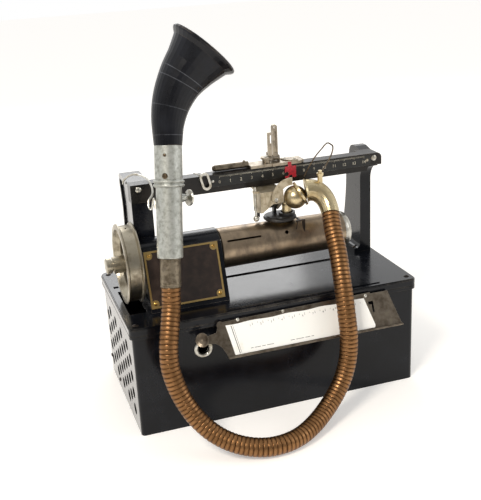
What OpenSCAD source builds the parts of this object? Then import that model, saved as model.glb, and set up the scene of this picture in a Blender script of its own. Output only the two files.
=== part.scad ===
// Wax cylinder dictating machine, in millimetres.
// Origin: middle of the case underside, on the table. X runs along the mandrel, -Y is the front, +Z is up.

/* [Case] */
// Width of the case along the mandrel
case_w = 330; // [324:1:340]
// Depth of the case from front to back
case_d = 174; // [170:1:180]
// Thickness of the case sheet
sheet_t = 1.5; // [1:0.1:2]
// Radius of the upright corners
case_r = 5; // [3:0.5:8]
// Diameter of the air holes
hole_d = 13; // [9:0.5:13.5]
// Distance between columns of air holes
hole_step_y = 16.2; // [15.5:0.1:16.4]
// Distance between air holes in a column
hole_step_z = 20.5; // [19:0.5:21]
// Columns of air holes in each end
hole_columns = 9; // [3:1:9]
// Air holes in a column
hole_rows = 4; // [2:1:4]

/* [Bedplate] */
// Height of the top of the bedplate
bed_z = 128.5; // [126:0.5:130]
// Height of the lip that hangs over the case
bed_lip = 12.5; // [10:0.5:14]
// How far the bedplate stands out past the case
bed_over = 2.5; // [2:0.1:3]
// Thickness of the bedplate
bed_t = 4; // [3:0.5:5]

/* [Mandrel] */
// Depth position of the mandrel axis
axis_y = -15; // [-17:0.5:-13]
// Height of the mandrel axis
axis_z = 175; // [174:0.5:176]
// Left end of the mandrel
mandrel_x0 = -46; // [-46:1:-44]
// Length of the mandrel without its end ring
mandrel_len = 150; // [146:1:152]
// Radius at the left end
mandrel_r0 = 23.2; // [22.5:0.1:23.5]
// Radius at the right end
mandrel_r1 = 21.3; // [20.5:0.1:22]
// Length of the end ring
ring_len = 10; // [8:0.5:11]
// Radius of the mandrel shaft
shaft_r = 5; // [4:0.25:5.5]

/* [Bearing housing and pulley] */
// Radius of the bearing housing
housing_r = 25; // [24.5:0.1:25.2]
// Left end of the bearing housing
housing_x0 = -136; // [-137:0.5:-136]
// Right end of the bearing housing
housing_x1 = -47.5; // [-49:0.5:-47]
// Lean of the nameplate back from upright, in degrees
plate_lean = 18.7; // [17:0.1:20]
// Radius of the pulley flanges
pulley_r = 44.5; // [42:0.5:45]
// Depth of the belt seat
seat_depth = 2.5; // [1.5:0.1:3]
// Width of the pulley rim
pulley_w = 18; // [16:0.5:18]
// Openings in the pulley web
web_holes = 5; // [3:1:6]

/* [Posts and bar] */
// Left face of the left post
post_l_x = -137; // [-138:0.5:-137]
// Width of the left post
post_l_w = 23; // [22:0.5:24]
// Left face of the right post
post_r_x = 148; // [146:0.5:150]
// Width of the right post
post_r_w = 14; // [12:0.5:15]
// Front of the bar
bar_y = -4.5; // [-5:0.1:-4]
// Depth of the bar
bar_d = 15.5; // [14:0.5:16]
// Top of the bar
bar_z = 258.4; // [258:0.1:259]
// Height of the bar
bar_h = 20.4; // [18:0.2:21]
// Thickness of the bar's walls
bar_t = 3; // [2:0.1:4]
// Length of the scale plate
scale_len = 198; // [180:1:200]

/* [Gear train] */
// Tooth module
gear_m = 1.5; // [1.4:0.05:1.5]
// Teeth of the mandrel gear
z_mandrel = 26; // [25:1:26]
// Teeth of the first idler
z_idler_1 = 20; // [20:1:21]
// Teeth of the second idler
z_idler_2 = 18; // [18:1:19]
// Teeth of the feed screw gear
z_feed = 16; // [16:1:17]
// Width of the gears
gear_w = 8; // [6:0.5:8.5]
// Depth position of the feed screw
feed_y = 26; // [25.5:0.1:26.5]
// Height of the feed screw
feed_z = 242.5; // [242:0.1:243]
// Radius of the feed screw
feed_r = 4; // [3.5:0.1:4.5]

/* [Speaking tube and horn] */
// Radius of the lower tube
tube_r = 13.4; // [12.5:0.1:14]
// Radius of the upper tube
upper_r = 14.3; // [13.5:0.1:14.5]
// Radius of the ferrule that takes the hose
ferrule_r = 10.8; // [10.4:0.1:11]
// Length of the ferrule
ferrule_len = 30; // [26:1:34]
// Radius that the horn bends to
horn_bend_r = 98.5; // [90:0.5:110]
// Angle that the horn bends through
horn_bend = 38.6; // [30:0.2:45]
// Thickness of the horn's wall
horn_t = 1.8; // [1.2:0.1:2.4]

/* [Hose] */
// Outer radius of the hose over its ribs
hose_r = 10; // [9:0.1:10.2]
// Radius between the ribs
hose_root_r = 9.3; // [8.6:0.1:9.6]
// Radius of the hose's bore
hose_bore_r = 7.6; // [6.5:0.1:8]
// Ribs along the hose
hose_ribs = 118; // [40:1:150]

/* [Carriage and head] */
// Left edge of the saddle
saddle_x0 = 2; // [2:0.5:3]
// Length of the saddle
saddle_len = 65; // [60:1:66]
// Top of the saddle
saddle_z = 262; // [261.5:0.1:262.5]
// Radius of the ball on the elbow
ball_r = 13.2; // [12:0.1:13.4]
// Outer radius of the elbow where it leaves the ball
elbow_r = 12.8; // [12:0.1:13]
// Radius of the diaphragm housing
sound_box_r = 19; // [17:0.5:19.5]
// Height of the tall lever above the saddle
lever_h = 42; // [36:1:46]

/* [Slip tray] */
// Height of the tray along its slope
tray_h = 39.5; // [36:0.5:39.5]
// Lean of the tray back from upright, in degrees
tray_lean = 23.2; // [20:0.2:25]
// Thickness of the tray sheet
tray_t = 1.2; // [1:0.1:1.6]
// Length of the paper slip
paper_len = 166; // [150:1:167]
// Height of the paper slip
paper_h = 33.5; // [28:0.5:34]

/* [Motor] */
// Radius of the motor's frame
motor_r = 36; // [30:0.5:38]
// Length of the motor's frame
motor_len = 92; // [80:1:100]
// Height of the motor's axis
motor_z = 52; // [48:0.5:56]
// Radius of the motor's pulley
motor_pulley_r = 14; // [10:0.5:16]

/* [Hidden] */
$fn = 64;
fine = 96;
near = 32;
eps = 0.01;
// Gap left between pieces that pass each other
gap = 0.3;
// Radial running clearance of a shaft in its bore
fit = 0.05;

// Places worked out from the dimensions above
case_x = case_w / 2;
case_y = case_d / 2;
case_top = bed_z - bed_t;
lip_z = bed_z - bed_lip;
mandrel_x1 = mandrel_x0 + mandrel_len;
pulley_x1 = housing_x0 - 4;
pulley_x0 = pulley_x1 - pulley_w;
belt_slot_y0 = -50;
belt_slot_y1 = 20;
bar_z0 = bar_z - bar_h;
bar_y1 = bar_y + bar_d;
post_l_x1 = post_l_x + post_l_w;
post_r_x1 = post_r_x + post_r_w;
post_l_y0 = -3;
post_r_y0 = 18;
post_wall = 4;

// Gear train: the pitch circles touch, and the second idler sits where two circles cross
gear_x = -130;
pitch_mandrel = gear_m * z_mandrel / 2;
pitch_1 = gear_m * z_idler_1 / 2;
pitch_2 = gear_m * z_idler_2 / 2;
pitch_feed = gear_m * z_feed / 2;
idler_1_angle = 25;
c_mandrel = [axis_y, axis_z];
c_feed = [feed_y, feed_z];
c_idler_1 = c_mandrel + (pitch_mandrel + pitch_1) * [cos(idler_1_angle), sin(idler_1_angle)];
c_idler_2 = crossing(c_idler_1, pitch_1 + pitch_2, c_feed, pitch_2 + pitch_feed);
phase_mandrel = 0;
phase_1 = mesh_phase(c_mandrel, z_mandrel, phase_mandrel, c_idler_1, z_idler_1);
phase_2 = mesh_phase(c_idler_1, z_idler_1, phase_1, c_idler_2, z_idler_2);
phase_feed = mesh_phase(c_idler_2, z_idler_2, phase_2, c_feed, z_feed);
pin_r = 2.5;

// Speaking tube: its axis runs from the ferrule's foot up to the base of the horn
tube_foot = [-120.5, -92, 170.4];
tube_head = [-103.5, -58, 310.1];
tube_dir = unit(tube_head - tube_foot);
tube_len = norm(tube_head - tube_foot);
tube_lean = acos(tube_dir[2]);
tube_turn = atan2(tube_dir[1], tube_dir[0]);
tube_wall = 1.2;
collar_len = 8;
collar_t = 102.6;
thumb_t = 91.4;
thumb_angle = -47;
thumb_r = 8.5;
thumb_reach = 24;

// Horn: straight, then an arc, then straight again; radii are taken along its own length
horn_base_len = 14.5;
horn_end_len = 25.5;
horn_side = [1, -0.217, 0];
horn_radii = [[0, 14.6], [17, 16.2], [36, 18.8], [60, 22.5], [85, 28], [100, 33], [106.5, 36]];
horn_rings = 18;
horn_len = horn_base_len + horn_bend_r * horn_bend * PI / 180 + horn_end_len;

// Elbow: a curve from the ball to the end of the hose
ball_c = [45, -28, 226.5];
elbow_end = [76.5, -54, 209];
elbow_end_dir = [0.15, 0.66, 0.735];
elbow_path = [ball_c, ball_c + [19, -2, 15], elbow_end + 27 * elbow_end_dir, elbow_end];
elbow_steps = 18;

// Hose: its route, chosen by hand; both ends run straight for one hose diameter
hose_straight = 20;
hose_route = [
    tube_foot,
    tube_foot - hose_straight / 2 * tube_dir,
    tube_foot - hose_straight * tube_dir,
    [-128, -106, 133],
    [-133, -114.5, 114],
    [-134.5, -121, 94],
    [-130.5, -127.5, 73],
    [-123, -135, 54],
    [-112.5, -145, 37.5],
    [-98, -156, 24.5],
    [-79.5, -167, 16],
    [-57, -174.5, 11.4],
    [-35, -175.5, 10.4],
    [-13, -169.5, 11],
    [8, -158.5, 14.5],
    [27, -146.5, 21.5],
    [43.5, -137, 33],
    [55.5, -130.5, 48.5],
    [63, -126, 68],
    [66, -122, 90],
    [66.5, -116, 112],
    [67.5, -107.5, 133.5],
    [69, -97, 154],
    [71.5, -83.5, 174.5],
    elbow_end - hose_straight * elbow_end_dir,
    elbow_end - hose_straight / 2 * elbow_end_dir,
    elbow_end
];
hose_sides = 8;
samples_per_step = 6;

// Radius of the hook wire
wire_r = 1.1;

function unit(v) = v / norm(v);
function mix(a, b, t) = a + (b - a) * t;
function step_of(p, i) = i + 1 < len(p) ? norm(p[i + 1] - p[i]) : 0;
function lengths_of(p) = [for (i = 0, s = 0; i < len(p); s = s + step_of(p, i), i = i + 1) s];
function smooth(a, b, c, d, t) =
    0.5 * (2 * b + (c - a) * t + (2 * a - 5 * b + 4 * c - d) * t * t + (3 * b - a - 3 * c + d) * t * t * t);
function curve_through(p, n) = let(m = len(p) - 1)
    concat([for (i = [0:m - 1]) for (k = [0:n - 1])
        smooth(p[max(i - 1, 0)], p[i], p[i + 1], p[min(i + 2, m)], k / n)], [p[m]]);
function bezier(q, t) =
    pow(1 - t, 3) * q[0] + 3 * t * pow(1 - t, 2) * q[1] + 3 * t * t * (1 - t) * q[2] + pow(t, 3) * q[3];
function crossing(a, ra, b, rb) =
    let(d = norm(b - a), u = (b - a) / d, k = (ra * ra - rb * rb + d * d) / (2 * d),
        h = sqrt(max(0, ra * ra - k * k)))
    a + k * u + h * [u[1], -u[0]];
// Turn of gear B so that its gap meets a tooth of gear A on the line of centres
function mesh_phase(ca, za, pa, cb, zb) =
    let(a = atan2(cb[1] - ca[1], cb[0] - ca[0])) a + 180 + 180 / zb + (pa - a) * -za / zb;

// Point, and the two directions across the path, at every point of a path
function tangents(p) = let(m = len(p) - 1) [for (i = [0:m]) unit(p[min(i + 1, m)] - p[max(i - 1, 0)])];
function across(v, t) = unit(v - (v * t) * t);
function carried(t, v, i = 0, done = []) =
    i >= len(t) ? done : let(w = across(v, t[i])) carried(t, w, i + 1, concat(done, [w]));
function mean_point(p, lens, s) =
    let(k = lookup(s, [for (i = [0:len(p) - 1]) [lens[i], i]]), i = min(floor(k), len(p) - 2))
    mix(p[i], p[i + 1], k - i);

// Closed skin over rings set across a path: profile holds [index of the path point, radius]
module skin(path, profile, sides, side_dir) {
    t = tangents(path);
    u = carried(t, side_dir);
    n = len(profile);
    points = [for (q = profile) for (k = [0:sides - 1])
        let(i = q[0], a = 360 * k / sides) path[i] + q[1] * (cos(a) * u[i] + sin(a) * cross(t[i], u[i]))];
    faces = [for (i = [0:n - 1]) for (k = [0:sides - 1])
        let(j = (i + 1) % n, l = (k + 1) % sides, a = i * sides + k, b = i * sides + l,
            c = j * sides + k, d = j * sides + l)
        each [[a, c, b], [b, c, d]]];
    polyhedron(points, faces, convexity = 10);
}

// Closed skin over a solid rod along a path, with one radius a point
module rod_along(path, radii, sides, side_dir) {
    t = tangents(path);
    u = carried(t, side_dir);
    n = len(path);
    points = [for (i = [0:n - 1]) for (k = [0:sides - 1])
        let(a = 360 * k / sides, w = cross(t[i], u[i])) path[i] + radii[i] * (cos(a) * u[i] + sin(a) * w)];
    walls = [for (i = [0:n - 2]) for (k = [0:sides - 1])
        let(l = (k + 1) % sides, a = i * sides + k, b = i * sides + l) each
        [[a, a + sides, b], [b, a + sides, b + sides]]];
    first = [for (k = [1:sides - 2]) [0, k, k + 1]];
    last = [for (k = [1:sides - 2]) [(n - 1) * sides, (n - 1) * sides + k + 1, (n - 1) * sides + k]];
    polyhedron(points, concat(walls, first, last), convexity = 10);
}

// Drawings in the YZ plane, pushed along X
module along_x(x0, x1) {
    translate([x0, 0, 0]) rotate([90, 0, 90]) linear_extrude(x1 - x0) children();
}
// Drawings in the XZ plane, pushed along Y
module along_y(y0, y1) {
    translate([0, y1, 0]) rotate([90, 0, 0]) linear_extrude(y1 - y0) children();
}
module rounded_rect(w, d, r) {
    square([w - 2 * r, d], center = true);
    square([w, d - 2 * r], center = true);
    for (x = [-1, 1])
        for (y = [-1, 1])
            translate([x * (w / 2 - r), y * (d / 2 - r)]) circle(r);
}
module block(lo, hi) {
    translate(lo) cube(hi - lo);
}
module at(p, z) {
    translate([p[0], p[1], z]) children();
}
// Round pin or hole from point p along +Y
module peg_y(p, len, r) {
    translate(p) rotate([-90, 0, 0]) cylinder(h = len, r = r, $fn = near);
}
module turned_x(x0, y, z) {
    translate([x0, y, z]) rotate([90, 0, 90]) children();
}
module disc_x(x0, x1, y, z, r) {
    turned_x(x0, y, z) cylinder(h = x1 - x0, r = r);
}
// Screw standing on z = 0: slotted domed head above, shank below
module screw(head_r, head_h, shank_r, shank_len) {
    difference() {
        union() {
            intersection() {
                cylinder(h = head_h, r = head_r);
                translate([0, 0, head_h - head_r * 1.6]) sphere(r = head_r * 1.6);
            }
            translate([0, 0, -shank_len]) cylinder(h = shank_len + eps, r = shank_r, $fn = near);
        }
        translate([-head_r - 1, -head_r * 0.13, head_h * 0.5]) cube([2 * head_r + 2, head_r * 0.26, head_h]);
    }
}

// Case
function air_hole_z(k, j) = 20 + hole_step_z * j + (k % 2 == 1 ? hole_step_z / 2 : 0);
module air_holes(x) {
    for (k = [0:hole_columns - 1])
        for (j = [0:hole_rows - 1])
            disc_x(x - 3, x + 3, -60 + hole_step_y * k, air_hole_z(k, j), hole_d / 2);
}
side_screws = [[80, 21], [33, 10]];
side_screw_r = 1.6;
ring_c = [-89.5, -case_y, 91.3];
ring_r = 8;
inlet = [-120, case_y, 32];
inlet_r = 6;
module case_shell() {
    color("#2b2e33")
    difference() {
        linear_extrude(case_top) rounded_rect(case_w, case_d, case_r);
        translate([0, 0, -1])
            linear_extrude(case_top + 2)
                rounded_rect(case_w - 2 * sheet_t, case_d - 2 * sheet_t, case_r - sheet_t);
        for (x = [-case_x, case_x]) {
            air_holes(x);
            for (s = side_screws)
                disc_x(x - 3, x + 3, s[0], s[1], side_screw_r + fit);
        }
        peg_y(ring_c - [0, 3, 0], 6, ring_r);
        peg_y(inlet - [0, 3, 0], 6, inlet_r);
    }
}

// Floor of the case, with an upright tab behind each side screw
module bottom_plate() {
    floor_w = case_w - 2 * sheet_t - 0.2;
    tab_half = 5;
    color("#8d8a84")
    difference() {
        union() {
            linear_extrude(sheet_t) rounded_rect(floor_w, case_d - 2 * sheet_t - 0.2, case_r - sheet_t);
            for (s = side_screws) {
                block([-floor_w / 2, s[0] - (s[0] > 70 ? 3 : tab_half), sheet_t - eps],
                      [-floor_w / 2 + sheet_t, s[0] + (s[0] > 70 ? 1 : tab_half), s[1] + 4]);
                block([floor_w / 2 - sheet_t, s[0] - (s[0] > 70 ? 3 : tab_half), sheet_t - eps],
                      [floor_w / 2, s[0] + (s[0] > 70 ? 1 : tab_half), s[1] + 4]);
            }
        }
        for (x = [-floor_w / 2, floor_w / 2])
            for (s = side_screws)
                disc_x(x - 3, x + 3, s[0], s[1], side_screw_r + fit);
        for (x = [20:24:140])
            for (y = [-40:20:40])
                translate([x, y, -1]) cylinder(h = 4, r = 4, $fn = near);
    }
}

// Bedplate
bed_screw_at = [159, 79];
ridge_y = -82;
module bedplate() {
    w = case_w + 2 * bed_over;
    d = case_d + 2 * bed_over;
    inner_w = case_w + 2 * gap;
    inner_d = case_d + 2 * gap;
    corner = case_r + bed_over;
    color("#17191c")
    difference() {
        union() {
            translate([0, 0, lip_z]) linear_extrude(bed_lip - 2) rounded_rect(w, d, corner);
            for (s = [[2, 0.5], [1, 1.5]])
                translate([0, 0, bed_z - s[0] - eps])
                    linear_extrude(1 + eps) rounded_rect(w - 2 * s[1], d - 2 * s[1], corner - s[1]);
            block([-60, ridge_y - 1, bed_z - eps], [123, ridge_y + 1, bed_z + 1]);
            block([-45, 9, bed_z - eps], [112, 26, bed_z + 1.5]);
        }
        translate([0, 0, lip_z - 1])
            linear_extrude(bed_lip - bed_t + 1) rounded_rect(inner_w, inner_d, case_r + gap);
        // Groove round the lip, which leaves a double line
        translate([0, 0, lip_z + 3.4])
            linear_extrude(1.2)
                difference() {
                    rounded_rect(w + 4, d + 4, corner + 2);
                    rounded_rect(w - 1, d - 1, corner - 0.5);
                }
        block([pulley_x0 - 1, belt_slot_y0, bed_z - bed_t - 1], [pulley_x1 + 1, belt_slot_y1, bed_z + 2]);
        translate([-158, 34.5, bed_z]) cube([6, 6, 20], center = true);
        for (x = [-1, 1])
            for (y = [-1, 1])
                translate([x * bed_screw_at[0], y * bed_screw_at[1], bed_z - bed_t - 1])
                    cylinder(h = bed_t + 2, r = side_screw_r + fit, $fn = near);
    }
}

// Blackened screws: the bedplate's corners, the case's ends and the right post's foot
foot_screw_at = [143.5, 25];
foot_t = 4.5;
module black_screws() {
    color("#1b1a19") {
        for (x = [-1, 1])
            for (y = [-1, 1])
                translate([x * bed_screw_at[0], y * bed_screw_at[1], bed_z])
                    screw(3.2, 1.4, side_screw_r, bed_t);
        for (s = side_screws) {
            translate([-case_x, s[0], s[1]]) rotate([0, -90, 0]) screw(2.6, 1.2, side_screw_r, 4);
            translate([case_x, s[0], s[1]]) rotate([0, 90, 0]) screw(2.6, 1.2, side_screw_r, 4);
        }
        at(foot_screw_at, bed_z + foot_t) screw(2.6, 1.6, side_screw_r, foot_t);
    }
}

// Posts: the back edge draws in to a waist; above it the left one flares and the right one draws in further
waist_z = 218;
waist_y = 57.5;
left_flare = 3.2;
right_flare = -4.6;
function post_back(z, flare) =
    z < waist_z ? waist_y + 17.5 * pow((waist_z - z) / (waist_z - bed_z), 1.6)
                : waist_y + flare * (1 - cos(180 * (z - waist_z) / 36));
module post_outline(y0, inset, z0, z1, top_r, flare = left_flare) {
    steps = 20;
    back = [for (k = [0:steps]) let(z = mix(z0, z1 - top_r, k / steps)) [post_back(z, flare) - inset, z]];
    corner = [for (a = [15:15:90])
        [post_back(z1 - top_r, flare) - inset - top_r + top_r * cos(a), z1 - top_r + top_r * sin(a)]];
    polygon(concat([[y0 + inset, z0]], back, corner, [[y0 + inset, z1]]));
}
module left_post() {
    inner = post_l_x + 5.5;
    web_x = post_l_x1 - 3.5;
    web_z = 229;
    roof_z = bar_z - 2.2;
    color("#1d1f23")
    difference() {
        along_x(post_l_x, post_l_x1) post_outline(post_l_y0, 0, bed_z, bar_z, 8);
        // Hollow for the gears, open on the inner side up to the web that carries the feed screw
        along_x(inner, post_l_x1 + 1)
            intersection() {
                post_outline(post_l_y0 - 1, post_wall, bed_z + 5, roof_z, 5);
                translate([post_l_y0 - 10, bed_z]) square([100, web_z - bed_z]);
            }
        along_x(inner, web_x) post_outline(post_l_y0 - 1, post_wall, web_z - 10, roof_z, 5);
        // Panel sunk in the outer face, inside a raised rim, with a long oval opening low down
        along_x(post_l_x - 1, post_l_x + 2.2) post_outline(post_l_y0 + 12, 5, bed_z + 6, bar_z - 6, 4);
        along_x(post_l_x - 1, inner + 1) {
            translate([46, 158]) circle(3.5);
            translate([46, 180]) circle(3.5);
            translate([42.5, 158]) square([7, 22]);
        }
        // Seat of the bearing housing, room for the first idler, notch for the bar
        disc_x(post_l_x - 1, post_l_x1 + 1, axis_y, axis_z, housing_r + 0.2);
        disc_x(inner, post_l_x1 + 1, c_idler_1[0], c_idler_1[1], pitch_1 + gear_m + 1);
        block([post_l_x - 1, post_l_y0 - 1, bar_z0 - 0.1], [post_l_x1 + 1, bar_y1 + 0.1, bar_z + 1]);
        for (c = [c_idler_1, c_idler_2])
            disc_x(post_l_x + 2.7, inner + 1, c[0], c[1], pin_r + 0.02);
        disc_x(post_l_x + 2.7, inner + 1, feed_y, feed_z, pin_r + fit);
        disc_x(web_x - 1, post_l_x1 + 1, feed_y, feed_z, feed_r + fit);
    }
}
module right_post() {
    top_z = bar_z + 2.1;
    sweep_r = 20.3;
    sweep_z = bar_z - 16.1;
    color("#1d1f23")
    difference() {
        union() {
            along_x(post_r_x, post_r_x1) post_outline(post_r_y0, 0, bed_z, top_z, 11, right_flare);
            // Foot pad, and the front face sweeping forward under the bar's end
            block([post_r_x - 8, post_r_y0, bed_z], [post_r_x + eps, 62, bed_z + foot_t]);
            along_x(post_r_x, post_r_x1)
                difference() {
                    translate([post_r_y0 - sweep_r, sweep_z - sweep_r]) square([sweep_r + 1, sweep_r]);
                    translate([post_r_y0 - sweep_r, sweep_z - sweep_r]) circle(sweep_r);
                }
            along_y(post_r_y0, 66)
                difference() {
                    translate([post_r_x - 6, bed_z + foot_t - 1]) square([7, 7]);
                    translate([post_r_x - 6, bed_z + foot_t + 6]) circle(5.6);
                }
        }
        disc_x(post_r_x - 1, post_r_x1 - 3, feed_y, feed_z, pin_r + fit);
        at(foot_screw_at, bed_z - 1) cylinder(h = foot_t + 2, r = side_screw_r + fit, $fn = near);
        at(foot_screw_at, bed_z + foot_t) cylinder(h = 8, r = 2.6 + fit, $fn = near);
        // Top sloping down to the bar's end
        along_x(post_r_x - 1, post_r_x1 + 1)
            translate([post_r_y0, bar_z]) polygon([[-1, -1], [12, 2.1], [12, 3.1], [-1, 3.1]]);
        // Web cut back on the outer side, which leaves a rim
        along_x(post_r_x1 - 2.5, post_r_x1 + 1)
            post_outline(post_r_y0, 6, bed_z + 10, bar_z - 20, 6, right_flare);
    }
}

// Bar: an angle with a solid block at each end
bar_end_x = 140;
bar_screw_at = [[-128.2, 252.7], [155, 252.7]];
bar_screw_r = 1.6;
module top_bar() {
    color("#221e1c")
    difference() {
        union() {
            along_x(post_l_x1 - eps, bar_end_x + eps)
                union() {
                    translate([bar_y, bar_z0]) square([bar_t, bar_h]);
                    translate([bar_y, bar_z - bar_t]) square([bar_d, bar_t]);
                }
            block([post_l_x, bar_y, bar_z0], [post_l_x1, bar_y1, bar_z]);
            along_y(bar_y, post_r_y0)
                difference() {
                    union() {
                        translate([bar_end_x, bar_z0]) square([12, bar_h]);
                        translate([bar_end_x, bar_z - 14.4]) square([case_x - bar_end_x, 8.4]);
                        translate([bar_end_x, bar_z - 7]) square([case_x - bar_end_x - 6, 7]);
                        translate([case_x - 6, bar_z - 6]) circle(6);
                    }
                    translate([bar_end_x + 12, bar_z0]) circle(6);
                }
        }
        for (s = bar_screw_at)
            peg_y([s[0], bar_y - 1, s[1]], 10, bar_screw_r + fit);
        for (x = scale_screw_x)
            peg_y([x, bar_y - 1, scale_z0 + 6.5], 6, 1 + fit);
    }
}
scale_x0 = -48;
scale_z0 = 244.5;
scale_t = 0.8;
scale_screw_x = [scale_x0 + 4, scale_x0 + scale_len - 4];
module scale_plate() {
    color("#3a3d3c")
    difference() {
        block([scale_x0, bar_y - scale_t, scale_z0], [scale_x0 + scale_len, bar_y, scale_z0 + 13]);
        for (x = scale_screw_x)
            peg_y([x, bar_y - 3, scale_z0 + 6.5], 4, 1 + fit);
    }
}
tray_screw_x = [-51, 1, 100];
tray_screw_v = 38;
module nickel_screws() {
    color("#b9b4aa") {
        for (s = bar_screw_at)
            translate([s[0], bar_y, s[1]]) rotate([90, 0, 0]) screw(3.3, 1.6, bar_screw_r, 6);
        for (x = scale_screw_x)
            translate([x, bar_y - scale_t, scale_z0 + 6.5]) rotate([90, 0, 0]) screw(1.9, 0.5, 1, 3);
        for (x = tray_screw_x)
            on_tray() translate([x, -tray_t, tray_screw_v]) rotate([90, 0, 0]) screw(1.8, 0.9, 1, 2);
    }
}

// Spring clip hooked over the bar's front: an oval band, tilted, open at the back
module bar_clip() {
    clip_c = [-53, bar_y - 2.2, 253];
    clip_tilt = -14;
    color("#c9c5bb")
    difference() {
        translate(clip_c)
            rotate([0, clip_tilt, 0]) {
                difference() {
                    along_y(-2, 2.1) {
                        translate([0, 5]) circle(5.4);
                        translate([0, -5]) circle(5.4);
                        translate([-5.4, -5]) square([10.8, 10]);
                    }
                    along_y(-3, 4) {
                        translate([0, 4.5]) circle(3);
                        translate([0, -4.5]) circle(3);
                        translate([-3, -4.5]) square([6, 9]);
                    }
                }
                translate([-3, 0, 8]) rotate([0, -50, 0]) cylinder(h = 9, r = 0.7, $fn = near);
            }
        block([-80, bar_y - 0.05, bar_z0 - 5], [-30, bar_y1, bar_z]);
        block([scale_x0 - 0.1, bar_y - scale_t - 0.05, bar_z0], [-30, bar_y, bar_z]);
    }
}

// Wire from the left post's rim, up and forwards, ending in a flat loop and a leg beside the tube
module hook_wire() {
    over = [[-138.7, 27, 253.4], [-139.2, 22, 257.4], [-138.7, 16, 260.9], [-136.6, 5, 266.7],
            [-133.7, -8, 271.7], [-130.2, -15, 272.9], [-126.8, -22, 272.9], [-123.7, -29, 271.7],
            [-122.1, -36, 269.8], [-121.5, -43, 267.2], [-121.9, -49, 264.5], [-122.9, -54, 261.6]];
    loop = [[-125, -57, 259], [-128.7, -60, 256.3], [-130, -62, 252.3], [-129.8, -63.6, 249.6],
            [-128.4, -64.9, 247.8], [-127, -65.6, 249.6], [-126, -65.9, 254]];
    leg = [[-125.5, -67.4, 258.6], [-125.4, -70.4, 259.8], [-125.6, -73.4, 256.6], [-126, -76, 251.4]];
    path = curve_through(concat(over, loop, leg), 3);
    color("#d8d3c4") rod_along(path, [for (p = path) wire_r], 8, [1, 0, 0]);
}

// Bearing housing: a barrel on a foot whose front leans back, tangent to the barrel
bush_r = 9;
gear_room_r = pitch_mandrel + gear_m + 1.8;
module housing_foot(y_max) {
    lean_s = sin(plate_lean);
    lean_c = cos(plate_lean);
    tangent = [axis_y - housing_r * lean_c, axis_z + housing_r * lean_s];
    foot = [tangent[0] - (tangent[1] - bed_z) * lean_s / lean_c, bed_z];
    pad = tangent + 9.6 * [lean_s, lean_c];
    intersection() {
        polygon([foot, pad, pad + [5, 0], [axis_y, axis_z], [axis_y + housing_r, axis_z], [26, bed_z]]);
        translate([foot[0] - 5, bed_z - 5]) square([y_max - foot[0] + 5, 100]);
    }
}
module bearing_housing() {
    color("#1b1c1f")
    difference() {
        union() {
            disc_x(housing_x0, housing_x1, axis_y, axis_z, housing_r);
            along_x(housing_x0, post_l_x1 + gap) housing_foot(post_l_y0 - gap);
            along_x(post_l_x1 + gap, housing_x1) housing_foot(40);
            translate([-90, axis_y, axis_z + housing_r - 1]) cylinder(h = 4, r = 3, $fn = near);
        }
        disc_x(gear_x + gear_w + 4, housing_x1 + 1, axis_y, axis_z, bush_r);
        disc_x(gear_x - 1.5, gear_x + gear_w + 4 + eps, axis_y, axis_z, gear_room_r);
        disc_x(housing_x0 - 1, gear_x, axis_y, axis_z, shaft_r + 1);
        disc_x(gear_x - 1.5, gear_x + gear_w + 4, c_idler_1[0], c_idler_1[1], pitch_1 + gear_m + 1);
        translate([-90, axis_y, axis_z + bush_r - 2]) cylinder(h = 30, r = 1.2, $fn = near);
        // Relief under the foot
        block([-128, -40, bed_z - 1], [-56, -18, bed_z + 8]);
    }
}
module bearing_bushes() {
    color("#a8763f")
    for (x = [[gear_x + gear_w + 4, gear_x + gear_w + 22], [housing_x1 - 18, housing_x1]])
        difference() {
            disc_x(x[0], x[1], axis_y, axis_z, bush_r);
            disc_x(x[0] - 1, x[1] + 1, axis_y, axis_z, shaft_r + fit);
        }
}

// Nameplate on the leaning front, with a raised border and round bosses for its screws
module on_plate() {
    translate([0, axis_y, axis_z]) rotate([-plate_lean, 0, 0]) children();
}
name_x0 = -135.6;
name_x1 = -52.5;
name_v0 = -52.8;
name_v1 = 9.5;
name_t = 1.1;
name_screws = [[name_x0 + 5, name_v0 + 5], [name_x0 + 5, name_v1 - 5], [name_x1 - 5, name_v0 + 5],
               [name_x1 - 5, name_v1 - 5]];
module nameplate() {
    color("#5a3a26")
    on_plate()
        difference() {
            union() {
                block([name_x0, -housing_r - name_t, name_v0], [name_x1, -housing_r, name_v1]);
                along_y(-housing_r - name_t - 0.4, -housing_r - name_t + eps)
                    difference() {
                        translate([name_x0, name_v0]) square([name_x1 - name_x0, name_v1 - name_v0]);
                        translate([name_x0 + 2, name_v0 + 2])
                            square([name_x1 - name_x0 - 4, name_v1 - name_v0 - 4]);
                    }
                for (s = name_screws)
                    translate([s[0], -housing_r - name_t + eps, s[1]])
                        rotate([90, 0, 0]) cylinder(h = 0.4 + eps, r = 4.2, $fn = near);
            }
            for (s = name_screws)
                peg_y([s[0], -housing_r - 4, s[1]], 5, 1 + fit);
        }
}
module nameplate_screws() {
    color("#b08d57")
    for (s = name_screws)
        on_plate() translate([s[0], -housing_r - name_t - 0.4, s[1]])
            rotate([90, 0, 0]) screw(2, 0.9, 1, name_t + 0.3);
}

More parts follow.
